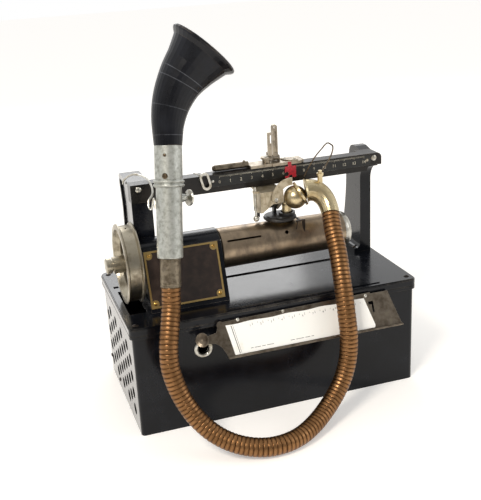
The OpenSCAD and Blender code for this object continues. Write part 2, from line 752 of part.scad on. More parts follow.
// Slip tray: a leaning sheet with a rolled lip, a left ear with the marker's arm, and two stays behind
tray_foot = [-107, 85];
module on_tray() {
    translate([0, tray_foot[0], tray_foot[1]]) rotate([-tray_lean, 0, 0]) children();
}
tray_left = -68;
tray_right = 138.5;
knob_c = [-93.7, -102, 108.7];
knob_dir = unit([-0.55, -0.75, 0.37]);
knob_travel = 2.5;
knob_turn = atan2(knob_dir[1], knob_dir[0]);
knob_lean = acos(knob_dir[2]);
module at_knob(back) {
    translate(knob_c - back * knob_dir) rotate([0, knob_lean, knob_turn]) children();
}
knob_stem_r = 2;
module slip_tray() {
    color("#8b857c")
    difference() {
        union() {
            on_tray() {
                along_y(-tray_t, 0)
                    difference() {
                        union() {
                            polygon([[tray_left, 0], [tray_right, 0], [tray_right - 11, tray_h],
                                [106, tray_h], [106, tray_h + 1.5], [tray_left + 1.5, tray_h - 1]]);
                            // Ear: a curved plate that narrows to the marker's arm
                            polygon([[tray_left + 2, tray_h - 1], [-74, tray_h - 4.5], [-76.5, 28.5],
                                [-90, 26], [-92.5, 23], [-90, 18.5], [-79, 17], [-73, 12], [-69, 4],
                                [tray_left, 0], [tray_left + 2, 10]]);
                            translate([-71, tray_h - 4]) circle(4);
                        }
                        // Window beside the paper, and the ear's scalloped lower edge
                        translate([102, 18]) square([6, 13]);
                        translate([-77, 8]) circle(5.5);
                    }
                block([tray_left, -3.4, -tray_t], [tray_right, 0, 0]);
                translate([tray_left, -3.4, -0.6])
                    rotate([0, 90, 0]) cylinder(h = tray_right - tray_left, r = 1.2);
            }
            at_knob(8) cylinder(h = 3.6, r = 4.6);
            // Stays from the tray back to the case
            for (x = [-40, 96])
                along_x(x, x + 10)
                    polygon([[-case_y, 92], [-case_y, 108], [-96.7, 110.5], [-105.2, 90.5]]);
        }
        at_knob(16) cylinder(h = 20, r = knob_stem_r + fit);
        for (x = tray_screw_x)
            on_tray() peg_y([x, -4, tray_screw_v], 5, 1 + fit);
    }
}
paper_t = 0.25;
module paper_slip() {
    left = tray_left + 8;
    right = left + paper_len;
    top_v = paper_h + 2;
    waves = 24;
    // Deckled top edge, from the right corner to the left one, each leaning left of the foot below it
    top = [for (k = [0:waves]) let(s = k / waves)
        [mix(right - 8.5, left - 5.5, s), top_v - 1.2 * s + 0.5 * sin(360 * 4 * s)]];
    color("#f4f2ea")
    on_tray()
        along_y(-tray_t - paper_t - 0.02, -tray_t - 0.02)
            polygon(concat([[left, 1.3], [right - 1, 1.3], [right, 4]], top));
}
module front_bushing() {
    color("#aaa59b")
    translate(ring_c)
        rotate([90, 0, 0])
            rotate_extrude()
                polygon([[6.4, -4], [ring_r - fit, -4], [ring_r - fit, 0], [10.2, 0], [10.2, 1],
                    [9.4, 1.9], [7.4, 1.9], [6.4, 1]]);
}
module cord_bushing() {
    color("#2a2018")
    translate(inlet)
        rotate([-90, 0, 0])
            rotate_extrude()
                polygon([[3.6, -3], [inlet_r - fit, -3], [inlet_r - fit, 0], [8.5, 0], [8.5, 1.5],
                    [7, 3], [4.4, 3], [3.6, 2.2]]);
}

// Speaking tube, in its own frame: z runs from the ferrule's foot to the horn
module on_tube(t) {
    translate(tube_foot) rotate([0, tube_lean, tube_turn]) translate([0, 0, t]) children();
}
module hose_ferrule() {
    color("#b9ad98")
    on_tube(0)
        rotate_extrude($fn = fine)
            polygon([[8.2, 0], [ferrule_r - 0.4, 0], [ferrule_r, 0.6], [ferrule_r, 3], [ferrule_r - 0.4, 3.6],
                [ferrule_r, 4.2], [ferrule_r, ferrule_len], [tube_r - tube_wall, ferrule_len],
                [tube_r - tube_wall, ferrule_len + 8], [8.2, ferrule_len + 8]]);
}
thumb_boss = 19;
module at_thumb() {
    on_tube(thumb_t) rotate([0, 0, thumb_angle]) rotate([0, 90, 0]) children();
}
module lower_tube() {
    inner = tube_r - tube_wall;
    color("#b4b9b6")
    difference() {
        union() {
            on_tube(0)
                rotate_extrude($fn = fine)
                    polygon([[ferrule_r + 0.1, ferrule_len], [tube_r - 1, ferrule_len],
                        [tube_r - 0.3, ferrule_len + 0.5], [tube_r, ferrule_len + 1.4],
                        [tube_r, collar_t], [ferrule_r + 0.1, collar_t]]);
            at_thumb() cylinder(h = thumb_boss, r1 = 8, r2 = 3.6);
        }
        on_tube(ferrule_len - 1) cylinder(h = collar_t, r = inner);
        at_thumb() cylinder(h = 40, r = 1.8 + fit, $fn = near);
    }
}
screw_t = 114;
rivet_t = 135;
screw_angle = 178;
module upper_tube() {
    bead = 1.5;
    color("#b4b9b6")
    difference() {
        on_tube(0)
            rotate_extrude($fn = fine) {
                polygon([[upper_r - tube_wall, collar_t], [upper_r + 0.5, collar_t],
                    [upper_r + 0.5, collar_t + collar_len], [upper_r, collar_t + collar_len + 0.5],
                    [upper_r, tube_len], [upper_r - tube_wall, tube_len]]);
                translate([upper_r + 0.3, collar_t + 2]) circle(bead, $fn = near);
                translate([upper_r + 0.3, collar_t + 6]) circle(bead, $fn = near);
            }
        for (t = [screw_t, rivet_t])
            on_tube(t)
                rotate([0, 0, screw_angle]) rotate([0, 90, 0]) cylinder(h = 20, r = 1.2 + fit, $fn = near);
    }
}
module tube_screws() {
    color("#6e5a45")
    for (s = [[screw_t, 3], [rivet_t, 1.6]])
        on_tube(s[0]) rotate([0, 0, screw_angle]) translate([upper_r + 0.02, 0, 0])
            rotate([0, 90, 0]) screw(s[1], 1.1, 1.2, 2);
}
module thumb_disc() {
    color("#c4c0b6")
    at_thumb()
        rotate_extrude($fn = fine)
            polygon([[0, 15], [1.8, 15], [1.8, thumb_boss + 2.6], [3.4, thumb_reach - 1.8],
                [thumb_r - 0.6, thumb_reach - 1.2], [thumb_r, thumb_reach - 0.6], [thumb_r, thumb_reach + 0.6],
                [thumb_r - 0.8, thumb_reach + 0.8], [4, thumb_reach - 0.2], [0, thumb_reach - 0.4]]);
}

// Horn: a flared wall that follows the bend and ends in a rolled rim
function horn_at(s) =
    let(b = across(horn_side, tube_dir), arc = horn_bend_r * horn_bend * PI / 180,
        a = min(max(s - horn_base_len, 0), arc) * 180 / PI / horn_bend_r,
        past = max(s - horn_base_len - arc, 0))
    tube_head + (min(s, horn_base_len) + horn_bend_r * sin(a)) * tube_dir
        + horn_bend_r * (1 - cos(a)) * b + past * (cos(a) * tube_dir + sin(a) * b);
module horn() {
    rim_s = [horn_len - 1.6, horn_len + 0.4, horn_len + 2, horn_len + 2.8];
    rim_r = [1.6, 2.6, 2.2, 0.6];
    stations = concat([for (k = [0:horn_rings]) horn_len * k / (horn_rings + 1)], rim_s);
    last = len(stations) - 1;
    path = [for (s = stations) horn_at(s)];
    end_r = lookup(horn_len, horn_radii);
    outer = [for (i = [0:last]) [i, i <= horn_rings ? lookup(stations[i], horn_radii)
        : end_r + rim_r[i - horn_rings - 1]]];
    inner = [for (i = [last:-1:0]) [i, i <= horn_rings ? lookup(stations[i], horn_radii) - horn_t
        : end_r - 0.8]];
    color("#23262e") skin(path, concat(outer, inner), 32, [0, 1, 0]);
}

// Hose: ribs outside, a plain bore inside, both ends straight
hose_curve = curve_through(hose_route, samples_per_step);
hose_lengths = lengths_of(hose_curve);
hose_len = hose_lengths[len(hose_lengths) - 1];
hose_pitch = hose_len / hose_ribs;
hose_stations = [for (k = [0:2 * hose_ribs]) mean_point(hose_curve, hose_lengths, k * hose_pitch / 2)];
function hose_gap(p) =
    min([for (i = [0:4:len(p) - 1]) for (j = [i + 24:4:len(p) - 1]) norm(p[i] - p[j])]) - 2 * hose_r;
module hose() {
    last = 2 * hose_ribs;
    outer = [for (i = [0:last]) [i, i % 2 == 1 ? hose_r : hose_root_r]];
    inner = [for (i = [last:-2:0]) [i, hose_bore_r]];
    echo(hose_length = hose_len, rib_pitch = hose_pitch, least_gap = hose_gap(hose_stations));
    color("#9b6a3c") skin(hose_stations, concat(outer, inner), hose_sides, [1, 0, 0]);
}

// Carriage: a saddle over the bar, with a back plate that comes down behind it
saddle_x1 = saddle_x0 + saddle_len;
saddle_y0 = bar_y - 1.1;
back_y0 = bar_y1 + 0.8;
back_y1 = back_y0 + 3;
arm_z0 = 234.4;
arm_z1 = 236.6;
lever_axis = [8, 265.6];
lever_x = [32.6, 38.8];
lug_t = 1.6;
stop_c = [23.5, 4.5];
stop_pin_r = 1.5;
stop_z = saddle_z + 4.4;
oval_c = [51, 3.5];
oval_turn = -48;
oval_screw = 6.5;
module saddle() {
    color("#6b6258")
    difference() {
        union() {
            translate([0, 0, bar_z + gap])
                linear_extrude(saddle_z - bar_z - gap)
                    difference() {
                        translate([saddle_x0, saddle_y0]) square([saddle_len, back_y1 - saddle_y0]);
                        // Step that passes behind the spring clip
                        translate([saddle_x0 - 1, saddle_y0 - 1]) square([27, 2.5]);
                        translate([saddle_x0 + 32, saddle_y0 - 14]) circle(14.6);
                        translate([saddle_x1 + 2, saddle_y0 - 3]) circle(7);
                    }
            block([saddle_x0 + 2, back_y0, arm_z0], [40, back_y1, saddle_z]);
            at(stop_c, saddle_z - eps) cylinder(h = stop_z - saddle_z, r = 4.5);
            for (x = [lever_x[0] - 0.2 - lug_t, lever_x[1] + 0.2])
                along_x(x, x + lug_t) {
                    translate([lever_axis[0] - 3, saddle_z - eps]) square([6, lever_axis[1] - saddle_z]);
                    translate(lever_axis) circle(3, $fn = near);
                }
        }
        disc_x(lever_x[0] - 5, lever_x[1] + 5, lever_axis[0], lever_axis[1], 1.5 + 0.02);
        at(stop_c, bar_z) cylinder(h = 10, r = stop_pin_r + 0.02, $fn = near);
        for (s = [-1, 1])
            on_oval(s) translate([0, 0, -5]) cylinder(h = 8, r = 1 + fit, $fn = near);
    }
}
module on_oval(side) {
    at(oval_c, saddle_z) rotate([0, 0, oval_turn]) translate([side * oval_screw, 0, 0]) children();
}
rod_r = 3.6;
rod_y = 6.5;
module guide_rod() {
    rod_len = 39.4;
    z = bar_z + gap + rod_r;
    color("#a79f92") {
        turned_x(saddle_x0 - 0.02 - rod_len, rod_y, z)
            rotate_extrude()
                polygon([[0, -3.4], [1.8, -3], [3, -1.9], [rod_r, 0], [rod_r, rod_len], [0, rod_len]]);
        disc_x(saddle_x0 - 5, saddle_x0 - 3.5, rod_y, z + 0.9, rod_r + 0.6);
    }
}
module index_pointer() {
    color("#a3222f")
    difference() {
        union() {
            block([42, saddle_y0 - 0.9, 243.5], [55.5, saddle_y0 - 0.02, 256.8]);
            block([46, saddle_y0 - 0.9, 256.7], [50, saddle_y0 - 0.02, saddle_z]);
        }
        // Curved notch that leaves a pointing tongue
        peg_y([44, saddle_y0 - 2, 248], 3, 2.6);
        block([47, saddle_y0 - 2, 243], [51, saddle_y0 + 1, 246.5]);
    }
}
module oval_plate() {
    half_len = 12;
    half_w = 6;
    arc_r = (half_len * half_len + half_w * half_w) / (2 * half_w);
    color("#a39a8c")
    difference() {
        on_oval(0)
            translate([0, 0, 0.02])
                linear_extrude(1.3)
                    intersection() {
                        translate([0, half_w - arc_r]) circle(arc_r);
                        translate([0, arc_r - half_w]) circle(arc_r);
                        square([2 * half_len - 3, 2 * half_w + 2], center = true);
                    }
        for (s = [-1, 1])
            on_oval(s) translate([0, 0, -1]) cylinder(h = 4, r = 1 + fit, $fn = near);
    }
}
yoke_c = [40, 226];
yoke_r = [15.5, 24];
yoke_y = ball_c[1] - 1.6;
yoke_screw = [21.6, yoke_y, 226.2];
module carriage_screws() {
    color("#c2bcae") {
        for (s = [-1, 1])
            on_oval(s) translate([0, 0, 1.34]) screw(2.3, 1, 1, 4);
        translate(yoke_screw - [0, 0.02, 0]) rotate([90, 0, 0]) screw(2.6, 1.2, 1.2, 3);
        disc_x(lever_x[0] - 0.2 - lug_t, lever_x[1] + 0.2 + lug_t, lever_axis[0], lever_axis[1], 1.5);
        at(stop_c, stop_z + 2.3) screw(3, 1.3, stop_pin_r, 8);
    }
}

// Head bracket: folded sheet that hangs from the saddle, its front cut away on a slant
bracket_x = [4, 31];
bracket_y = -28;
bracket_t = 1.4;
head_pivot = [-5, 213];
module head_bracket() {
    color("#bfa67f")
    difference() {
        union() {
            block([bracket_x[0], bracket_y, arm_z0], [bracket_x[1], back_y0 - 0.02, arm_z1]);
            // Front, with a pressed three-cornered panel standing out from it
            along_y(bracket_y, bracket_y + bracket_t)
                polygon([[bracket_x[0], 213], [bracket_x[0] + 2, 213], [bracket_x[0] + 14, 221.5],
                    [bracket_x[1], 222.5], [bracket_x[1], arm_z1], [bracket_x[0], arm_z1]]);
            along_y(bracket_y - 0.9, bracket_y + eps)
                polygon([[bracket_x[0] + 4, arm_z1 - 1], [bracket_x[0] + 13, arm_z1 - 1],
                    [bracket_x[0] + 6.4, 221]]);
            // Sides: left edge, and how low the front corner comes
            for (s = [[bracket_x[0], 213], [bracket_x[1] - bracket_t, 222.5]])
                along_x(s[0], s[0] + bracket_t)
                    polygon([[bracket_y, s[1]], head_pivot - [4, 4], head_pivot + [3, -4],
                        [head_pivot[0] + 4, arm_z1], [bracket_y, arm_z1]]);
            // Lug for the guide pin
            block([pin_at[0] - 2.4, pin_at[1] - 2.4, arm_z0], [bracket_x[0] + eps, pin_at[1] + 2.4, arm_z1]);
        }
        disc_x(bracket_x[0] - 1, bracket_x[1] + 1, head_pivot[0], head_pivot[1], 1.5 + fit);
        peg_y(yoke_screw, 5, 1.2 + fit);
        at(pin_at, arm_z0 - 1) cylinder(h = 4, r = 1.3 + 0.02, $fn = near);
    }
}
module yoke_strap() {
    color("#cdb791")
    difference() {
        along_y(yoke_y, bracket_y - 0.02)
            union() {
                intersection() {
                    translate(yoke_c)
                        difference() {
                            circle(yoke_r[1]);
                            circle(yoke_r[0]);
                        }
                    translate([yoke_c[0] - 30, yoke_screw[2]]) square([31.5, 30]);
                }
                translate([yoke_screw[0], yoke_screw[2]]) circle(3.8, $fn = near);
            }
        peg_y(yoke_screw - [0, 2, 0], 5, 1.2 + fit);
    }
}
pin_at = [1, -18];
pin_ball_z = 204.5;
module guide_pin() {
    color("#b5aea2") {
        at(pin_at, pin_ball_z) cylinder(h = 37, r = 1.3, $fn = near);
        at(pin_at, pin_ball_z) sphere(r = 3.6);
    }
}

// Ball at the end of the elbow, with a crescent collar, and the neck that leads into the sound box
sound_inlet = [38, -18];
neck_r = 5.5;
neck_z = 206;
module sound_ball() {
    neck_top = [sound_inlet[0], sound_inlet[1], 219];
    join = ball_c - neck_top;
    color("#b79f76") {
        // Ball, and the collar that the elbow turns against
        translate(ball_c)
            rotate([0, 61.4, -8.5])
                rotate_extrude($fn = fine) {
                    intersection() {
                        circle(ball_r);
                        translate([0, -ball_r]) square([ball_r, 2 * ball_r]);
                    }
                    translate([ball_r - 4, 5.6]) square([5.6, 2.6]);
                }
        // Neck with its bore, rounded over at the top, and the way across to the ball
        at(sound_inlet, neck_z)
            rotate_extrude()
                polygon([[neck_r - 1.5, 0], [neck_r, 0], [neck_r, 13], [0, 13], [0, 5], [neck_r - 1.5, 5]]);
        translate(neck_top) sphere(r = neck_r + 0.6);
        translate(neck_top)
            rotate([0, acos(join[2] / norm(join)), atan2(join[1], join[0])])
                cylinder(h = norm(join), r = neck_r - 0.3);
    }
}

// Elbow: a bent tube from the ball's collar to the hose, with a small post on its back
module elbow_tube() {
    // The last two points lie on the hose's own line, so the two ends are parallel
    path = concat([for (k = [0:elbow_steps]) bezier(elbow_path, mix(0.22, 0.97, k / elbow_steps))],
        [elbow_end + 1 * elbow_end_dir, elbow_end + 0.3 * elbow_end_dir]);
    last = len(path) - 1;
    outer = [for (k = [0:last]) let(f = k / last)
        [k, elbow_r - 3.2 * f + 0.6 * pow(f, 6) + (k == 0 ? 1.1 : 0)]];
    // The bore opens at the start, round the ball
    inner = [for (k = [last:-1:0]) [k, k == 0 ? 9 : 7.4]];
    color("#c3ab7f") {
        skin(path, concat(outer, inner), 24, [0, 1, 0]);
        translate([72.5, -35.5, 236]) {
            cylinder(h = 14, r = 2.9);
            translate([0, 0, 14 - eps]) cylinder(h = 2.6, r = 4);
            translate([0, 0, 16.6 - 2 * eps]) cylinder(h = 3, r = 2.3, $fn = near);
        }
    }
}
module wire_loop() {
    path = curve_through([[75.8, -35.4, 254.5], [77.4, -34, 256.2], [83, -31, 261], [90.2, -29, 271.3],
        [92.6, -27, 278.2], [90.6, -26, 281.1], [86.1, -25, 282.8], [80, -23, 276], [73.2, -21, 267.8],
        [66, -18, 255], [61.2, -16, 245]], 3);
    color("#3a3732") rod_along(path, [for (p = path) 0.8], 6, [0, 1, 0]);
}

// Levers on the saddle
nut_leg_y = [23.6, 29.4];
module shift_lever() {
    lever_y = lever_axis[0];
    lever_z = lever_axis[1];
    lever_top = saddle_z + lever_h;
    mid = (lever_x[0] + lever_x[1]) / 2;
    half = (lever_x[1] - lever_x[0]) / 2;
    color("#8a8074")
    difference() {
        union() {
            // Blade with a round end
            along_y(lever_y - 2.4, lever_y + 2.4)
                union() {
                    translate([lever_x[0], lever_z]) square([2 * half, lever_top - half - lever_z]);
                    translate([mid, lever_top - half]) circle(half);
                }
            // Hub, tail and the leg that carries the half nut
            disc_x(lever_x[0], lever_x[1], lever_y, lever_z, 3.1);
            block([lever_x[0], lever_y, lever_z - 1.6], [lever_x[1], nut_leg_y[1], lever_z + 2.4]);
            block([lever_x[0], nut_leg_y[0], feed_z + feed_r + 2.4], [lever_x[1], nut_leg_y[1], lever_z]);
        }
        disc_x(lever_x[0] - 1, lever_x[1] + 1, lever_y, lever_z, 1.5 + fit);
        // Groove down the front, and the eye near the top
        block([mid - 1.5, lever_y - 3, lever_z + 6], [mid + 1.5, lever_y - 1.2, lever_top - 7]);
        peg_y([mid, -4, lever_top - half], 24, 1.3);
    }
}
module half_nut() {
    color("#b08a4a")
    difference() {
        block([lever_x[0] - 2, nut_leg_y[0] + 0.6, feed_z + 0.6],
              [lever_x[1] + 2, nut_leg_y[1] - 0.6, feed_z + feed_r + 2.38]);
        disc_x(lever_x[0] - 4, lever_x[1] + 4, feed_y, feed_z, feed_r + 0.35);
    }
}
module stop_lever() {
    foot_z = stop_z + 0.1;
    blade_x = [26, 30.4];
    color("#9a9083")
    difference() {
        union() {
            at(stop_c, foot_z) cylinder(h = 2.1, r = 6.5);
            along_y(stop_c[1] - 1.2, stop_c[1] + 1.2)
                difference() {
                    translate([blade_x[0], foot_z]) square([blade_x[1] - blade_x[0], 29.5]);
                    // Notch under the head of the lever
                    translate([blade_x[1] - 1.6, foot_z + 17]) square([2, 9.5]);
                }
        }
        at(stop_c, stop_z - 1) cylinder(h = 8, r = stop_pin_r + fit, $fn = near);
        at(stop_c, foot_z + 2.1) cylinder(h = 4, r = 3.2, $fn = near);
    }
}

// Sound box: it hangs on a pin across the bracket and carries the diaphragm and stylus
box_c = [30, -16];
box_z = 199.4;
box_h = 5.4;
module diaphragm_housing() {
    ears_x = [bracket_x[0] + bracket_t + 0.5, bracket_x[1] - bracket_t - 0.5];
    color("#15171a")
    difference() {
        union() {
            at(box_c, box_z)
                rotate_extrude($fn = fine)
                    polygon([[0, 0], [sound_box_r - 3, 0], [sound_box_r - 1.2, 0.8], [sound_box_r, 2],
                        [sound_box_r, 3.2], [sound_box_r - 1, 4.4], [sound_box_r - 3.6, box_h], [0, box_h]]);
            at(sound_inlet, box_z + box_h - eps) cylinder(h = 3, r = neck_r + 4);
            // Ears up to the pivot
            for (x = [ears_x[0], ears_x[1] - 3])
                along_x(x, x + 3) {
                    translate(head_pivot) circle(3.2, $fn = near);
                    translate([head_pivot[0] - 3.2, box_z + 3]) square([6.4, head_pivot[1] - box_z - 3]);
                }
            disc_x(ears_x[0], ears_x[1], head_pivot[0], head_pivot[1], 2.4);
            disc_x(bracket_x[0] - 0.6, bracket_x[1] + 0.6, head_pivot[0], head_pivot[1], 1.5);
        }
        at(box_c, box_z + 2.2) cylinder(h = 1.6, r = sound_box_r - 4);
        at(box_c, box_z - 1) cylinder(h = 3.3, r = sound_box_r - 7);
        // Mouth that the neck stands in without touching
        at(sound_inlet, box_z + 3.6) cylinder(h = 10, r = neck_r + 1.7);
    }
}
module diaphragm() {
    color("#cfc6b0")
    at(box_c, box_z + 2.22) cylinder(h = 0.5, r = sound_box_r - 4.05);
}
module stylus() {
    tip_x = 50.2;
    tip_y = -40.4;
    tip_z = 188;
    arm_z = [201.3, 203.1];
    color("#4a3a33") {
        // Flat holder that narrows to the point, and a thin feeler beside it
        along_y(tip_y - 0.7, tip_y + 0.7)
            polygon([[tip_x, tip_z], [tip_x + 0.5, tip_z + 2], [tip_x + 1, arm_z[1]], [tip_x - 3, arm_z[1]],
                [tip_x - 2, tip_z + 5], [tip_x - 0.4, tip_z + 0.6]]);
        translate([tip_x - 9.8, tip_y, tip_z + 4.5]) rotate([0, 11, 0]) cylinder(h = 10, r = 0.6, $fn = near);
        block([tip_x - 9.8, tip_y - 0.9, arm_z[0]], [tip_x - 2, tip_y + 0.9, arm_z[1]]);
        block([44.6, tip_y - 0.9, arm_z[0]], [46.4, box_c[1] - 12.4, arm_z[1]]);
    }
}

// Mandrel: a hollow taper on two hubs, with a long slot and a small eye in its wall
mark_angle = 144;
module mandrel() {
    wall = 2;
    color("#8f8170")
    difference() {
        turned_x(mandrel_x0, axis_y, axis_z)
            rotate_extrude($fn = fine)
                polygon([[shaft_r, 0], [mandrel_r0 - 0.8, 0], [mandrel_r0, 0.8], [mandrel_r1, mandrel_len],
                    [mandrel_r1 - wall, mandrel_len], [mandrel_r1 - wall, mandrel_len - 5],
                    [shaft_r, mandrel_len - 5],
                    [shaft_r, mandrel_len - 13], [mandrel_r1 - wall, mandrel_len - 13],
                    [mandrel_r0 - wall, 9], [shaft_r, 9]]);
        turned_x(0, axis_y, axis_z) rotate([0, 0, mark_angle]) {
            block([16, -1.1, -38.6], [30, 1.1, -0.2]);
            for (x = [-38.6, -0.2])
                translate([0, 0, x]) rotate([0, 90, 0]) cylinder(h = 30, r = 1.1, $fn = near);
            translate([0, 0, 31.6]) rotate([0, 90, 0]) cylinder(h = 30, r = 2.2, $fn = near);
        }
    }
}
module mandrel_ring() {
    r = mandrel_r1;
    color("#c8c3b8")
    turned_x(mandrel_x1 - 4.4, axis_y, axis_z)
        rotate_extrude($fn = fine)
            polygon(concat([[shaft_r + 6, 0], [r - 2.05, 0], [r - 2.05, 4.4], [r + 0.2, 4.4]],
                [for (a = [0:10:90])
                    [shaft_r + 7 + (r - shaft_r - 6.8) * cos(a), 5.4 + (ring_len - 1) * sin(a)]],
                [[shaft_r + 6, ring_len + 2]]));
}
module mandrel_shaft() {
    color("#a7a29a")
    disc_x(pulley_x0 - 14, mandrel_x1 - 2, axis_y, axis_z, shaft_r - 0.01);
}

// Pulley: flanged rim, thin web with kidney openings, long hub
hub_r = 9.5;
module pulley() {
    r = pulley_r;
    w = pulley_w;
    rim_in = r - seat_depth - 4.5;
    web = [w / 2 - 2, w / 2 + 2];
    color("#b3aa9a")
    difference() {
        turned_x(pulley_x0, axis_y, axis_z)
            rotate_extrude($fn = fine)
                polygon([[shaft_r, -8], [hub_r, -8], [hub_r, web[0] - 2], [hub_r + 2, web[0]],
                    [rim_in - 2, web[0]],
                    [rim_in, 3], [rim_in + 1, 0], [r - 0.6, 0], [r, 0.6], [r, 1.6], [r - seat_depth, 3],
                    [r - seat_depth, w - 3], [r, w - 1.6], [r, w - 0.6], [r - 0.6, w], [rim_in, w],
                    [rim_in - 2, web[1]], [hub_r + 2, web[1]], [hub_r, web[1] + 2], [hub_r, w], [shaft_r, w]]);
        turned_x(pulley_x0, axis_y, axis_z)
            for (k = [0:web_holes - 1])
                rotate([0, 0, 20 + 360 * k / web_holes])
                    translate([0, 0, web[0] - 1])
                        linear_extrude(6)
                            union() {
                                intersection() {
                                    difference() {
                                        circle(rim_in - 6);
                                        circle(hub_r + 6.5);
                                    }
                                    polygon([[0, 0], [60, 60 * tan(-11)], [60, 60 * tan(11)]]);
                                }
                                for (a = [-11, 11])
                                    rotate(a) translate([(rim_in + hub_r + 0.5) / 2, 0])
                                        circle((rim_in - hub_r - 12.8) / 2, $fn = near);
                            }
        // Set screw hole in the belt seat
        turned_x(pulley_x0 + w / 2, axis_y, axis_z) rotate([0, 0, 97]) rotate([0, 90, 0])
            translate([0, 0, rim_in - 2]) cylinder(h = 20, r = 1.3, $fn = near);
    }
}
module hub_cap() {
    color("#c9c2b2")
    difference() {
        turned_x(pulley_x0 - 16, axis_y, axis_z)
            rotate_extrude($fn = fine)
                polygon([[0, 0], [7.6, 0], [8.6, 1], [8.6, 6], [6.6, 6.6], [6.6, 8], [0, 8]]);
        disc_x(pulley_x0 - 14, pulley_x0, axis_y, axis_z, shaft_r);
    }
}

// Gears: straight teeth cut from a round blank, with clearance at the pitch line
module gear_outline(z) {
    pitch = gear_m * z / 2;
    tip_r = pitch + 0.8 * gear_m;
    root_r = pitch - 1.1 * gear_m;
    pitch_half = 0.42 * 180 / z;
    root_half = 0.62 * 180 / z;
    tip_half = 0.2 * 180 / z;
    polygon([for (k = [0:z - 1]) let(a = 360 * k / z) each [
        root_r * [cos(a - root_half), sin(a - root_half)],
        pitch * [cos(a - pitch_half), sin(a - pitch_half)],
        tip_r * [cos(a - tip_half), sin(a - tip_half)],
        tip_r * [cos(a + tip_half), sin(a + tip_half)],
        pitch * [cos(a + pitch_half), sin(a + pitch_half)],
        root_r * [cos(a + root_half), sin(a + root_half)]]]);
}
module gear(z, c, phase, bore_r, holes) {
    pitch = gear_m * z / 2;
    difference() {
        union() {
            turned_x(gear_x, c[0], c[1]) rotate([0, 0, phase]) linear_extrude(gear_w) gear_outline(z);
            disc_x(gear_x - 0.8, gear_x + gear_w + 0.8, c[0], c[1], bore_r + 2.6);
        }
        disc_x(gear_x - 2, gear_x + gear_w + 2, c[0], c[1], bore_r);
        for (k = [0:1:holes - 1])
            turned_x(gear_x - 1, c[0], c[1]) rotate([0, 0, phase + 360 * k / holes])
                translate([(pitch + bore_r) / 2 + 0.6, 0, 0])
                    cylinder(h = gear_w + 2, r = pitch * 0.17, $fn = near);
    }
}
module mandrel_gear() {
    color("#a8895a") gear(z_mandrel, c_mandrel, phase_mandrel, shaft_r, 5);
}
module idler_gear_1() {
    color("#8c8c8c") gear(z_idler_1, c_idler_1, phase_1, pin_r + fit, 5);
}
module idler_gear_2() {
    color("#a8895a") gear(z_idler_2, c_idler_2, phase_2, pin_r + fit, 4);
}
module feed_gear() {
    color("#8c8c8c") gear(z_feed, c_feed, phase_feed, pin_r + 0.5, 0);
}
module idler_pins() {
    color("#9c978e")
    for (c = [c_idler_1, c_idler_2]) {
        disc_x(post_l_x + 2.7, gear_x + gear_w + 1.1, c[0], c[1], pin_r);
        disc_x(gear_x + gear_w + 1, gear_x + gear_w + 3, c[0], c[1], pin_r + 1.8);
    }
}

// Feed screw: fine thread between its journals, drawn as close rings
thread_step = 3;
thread_x = [-100, 132];
module feed_screw() {
    color("#b0aaa0")
    union() {
        disc_x(post_l_x + 3, gear_x + gear_w + 1, feed_y, feed_z, pin_r);
        disc_x(gear_x - 1, gear_x + gear_w + 1, feed_y, feed_z, pin_r + 0.49);
        disc_x(gear_x + gear_w + 0.9, thread_x[0], feed_y, feed_z, feed_r);
        turned_x(thread_x[0] - eps, feed_y, feed_z)
            rotate_extrude($fn = near)
                polygon(concat([[0, 0]], [for (k = [0:(thread_x[1] - thread_x[0]) / thread_step - 1]) each
                    [[feed_r - 0.5, k * thread_step], [feed_r, (k + 0.35) * thread_step],
                     [feed_r, (k + 0.65) * thread_step]]],
                    [[feed_r - 0.5, thread_x[1] - thread_x[0]], [0, thread_x[1] - thread_x[0]]]));
        disc_x(thread_x[1] - 2 * eps, post_r_x - 0.5, feed_y, feed_z, feed_r);
        disc_x(post_r_x - 0.6, post_r_x1 - 3.5, feed_y, feed_z, pin_r);
    }
}

// Motor: a closed frame with end bells, on two saddles; its rotor and pulley turn together
motor_x0 = -126;
motor_x1 = motor_x0 + motor_len;
motor_shaft_r = 4;
module motor_frame() {
    w = motor_len;
    r = motor_r;
    color("#33363b")
    difference() {
        turned_x(motor_x0, axis_y, motor_z)
            rotate_extrude($fn = fine)
                polygon([[motor_shaft_r + fit, -4], [12, -4], [14, 0], [r - 8, 3], [r - 2, 9], [r - 2, 12],
                    [r, 12],
                    [r, w - 12], [r - 2, w - 12], [r - 2, w - 9], [r - 8, w - 3], [14, w], [12, w + 4],
                    [motor_shaft_r + fit, w + 4], [motor_shaft_r + fit, w - 8], [r - 12, w - 8],
                    [r - 5, w - 14],
                    [r - 5, 14], [r - 12, 8], [motor_shaft_r + fit, 8]]);
        for (k = [0:7])
            turned_x(motor_x0 - 6, axis_y, motor_z)
                rotate([0, 0, 45 * k]) translate([r * 0.58, 0, 0]) cylinder(h = 20, r = 4, $fn = near);
    }
}
module motor_bracket() {
    color("#2b2d30")
    for (x = [motor_x0 + 14, motor_x1 - 26])
        along_x(x, x + 12)
            difference() {
                translate([axis_y - motor_r * 0.85, sheet_t])
                    square([motor_r * 1.7, motor_z - motor_r * 0.5 - sheet_t]);
                translate([axis_y, motor_z]) circle(motor_r + 0.02, $fn = fine);
                translate([axis_y - 14, sheet_t - 1]) square([28, 7]);
            }
}
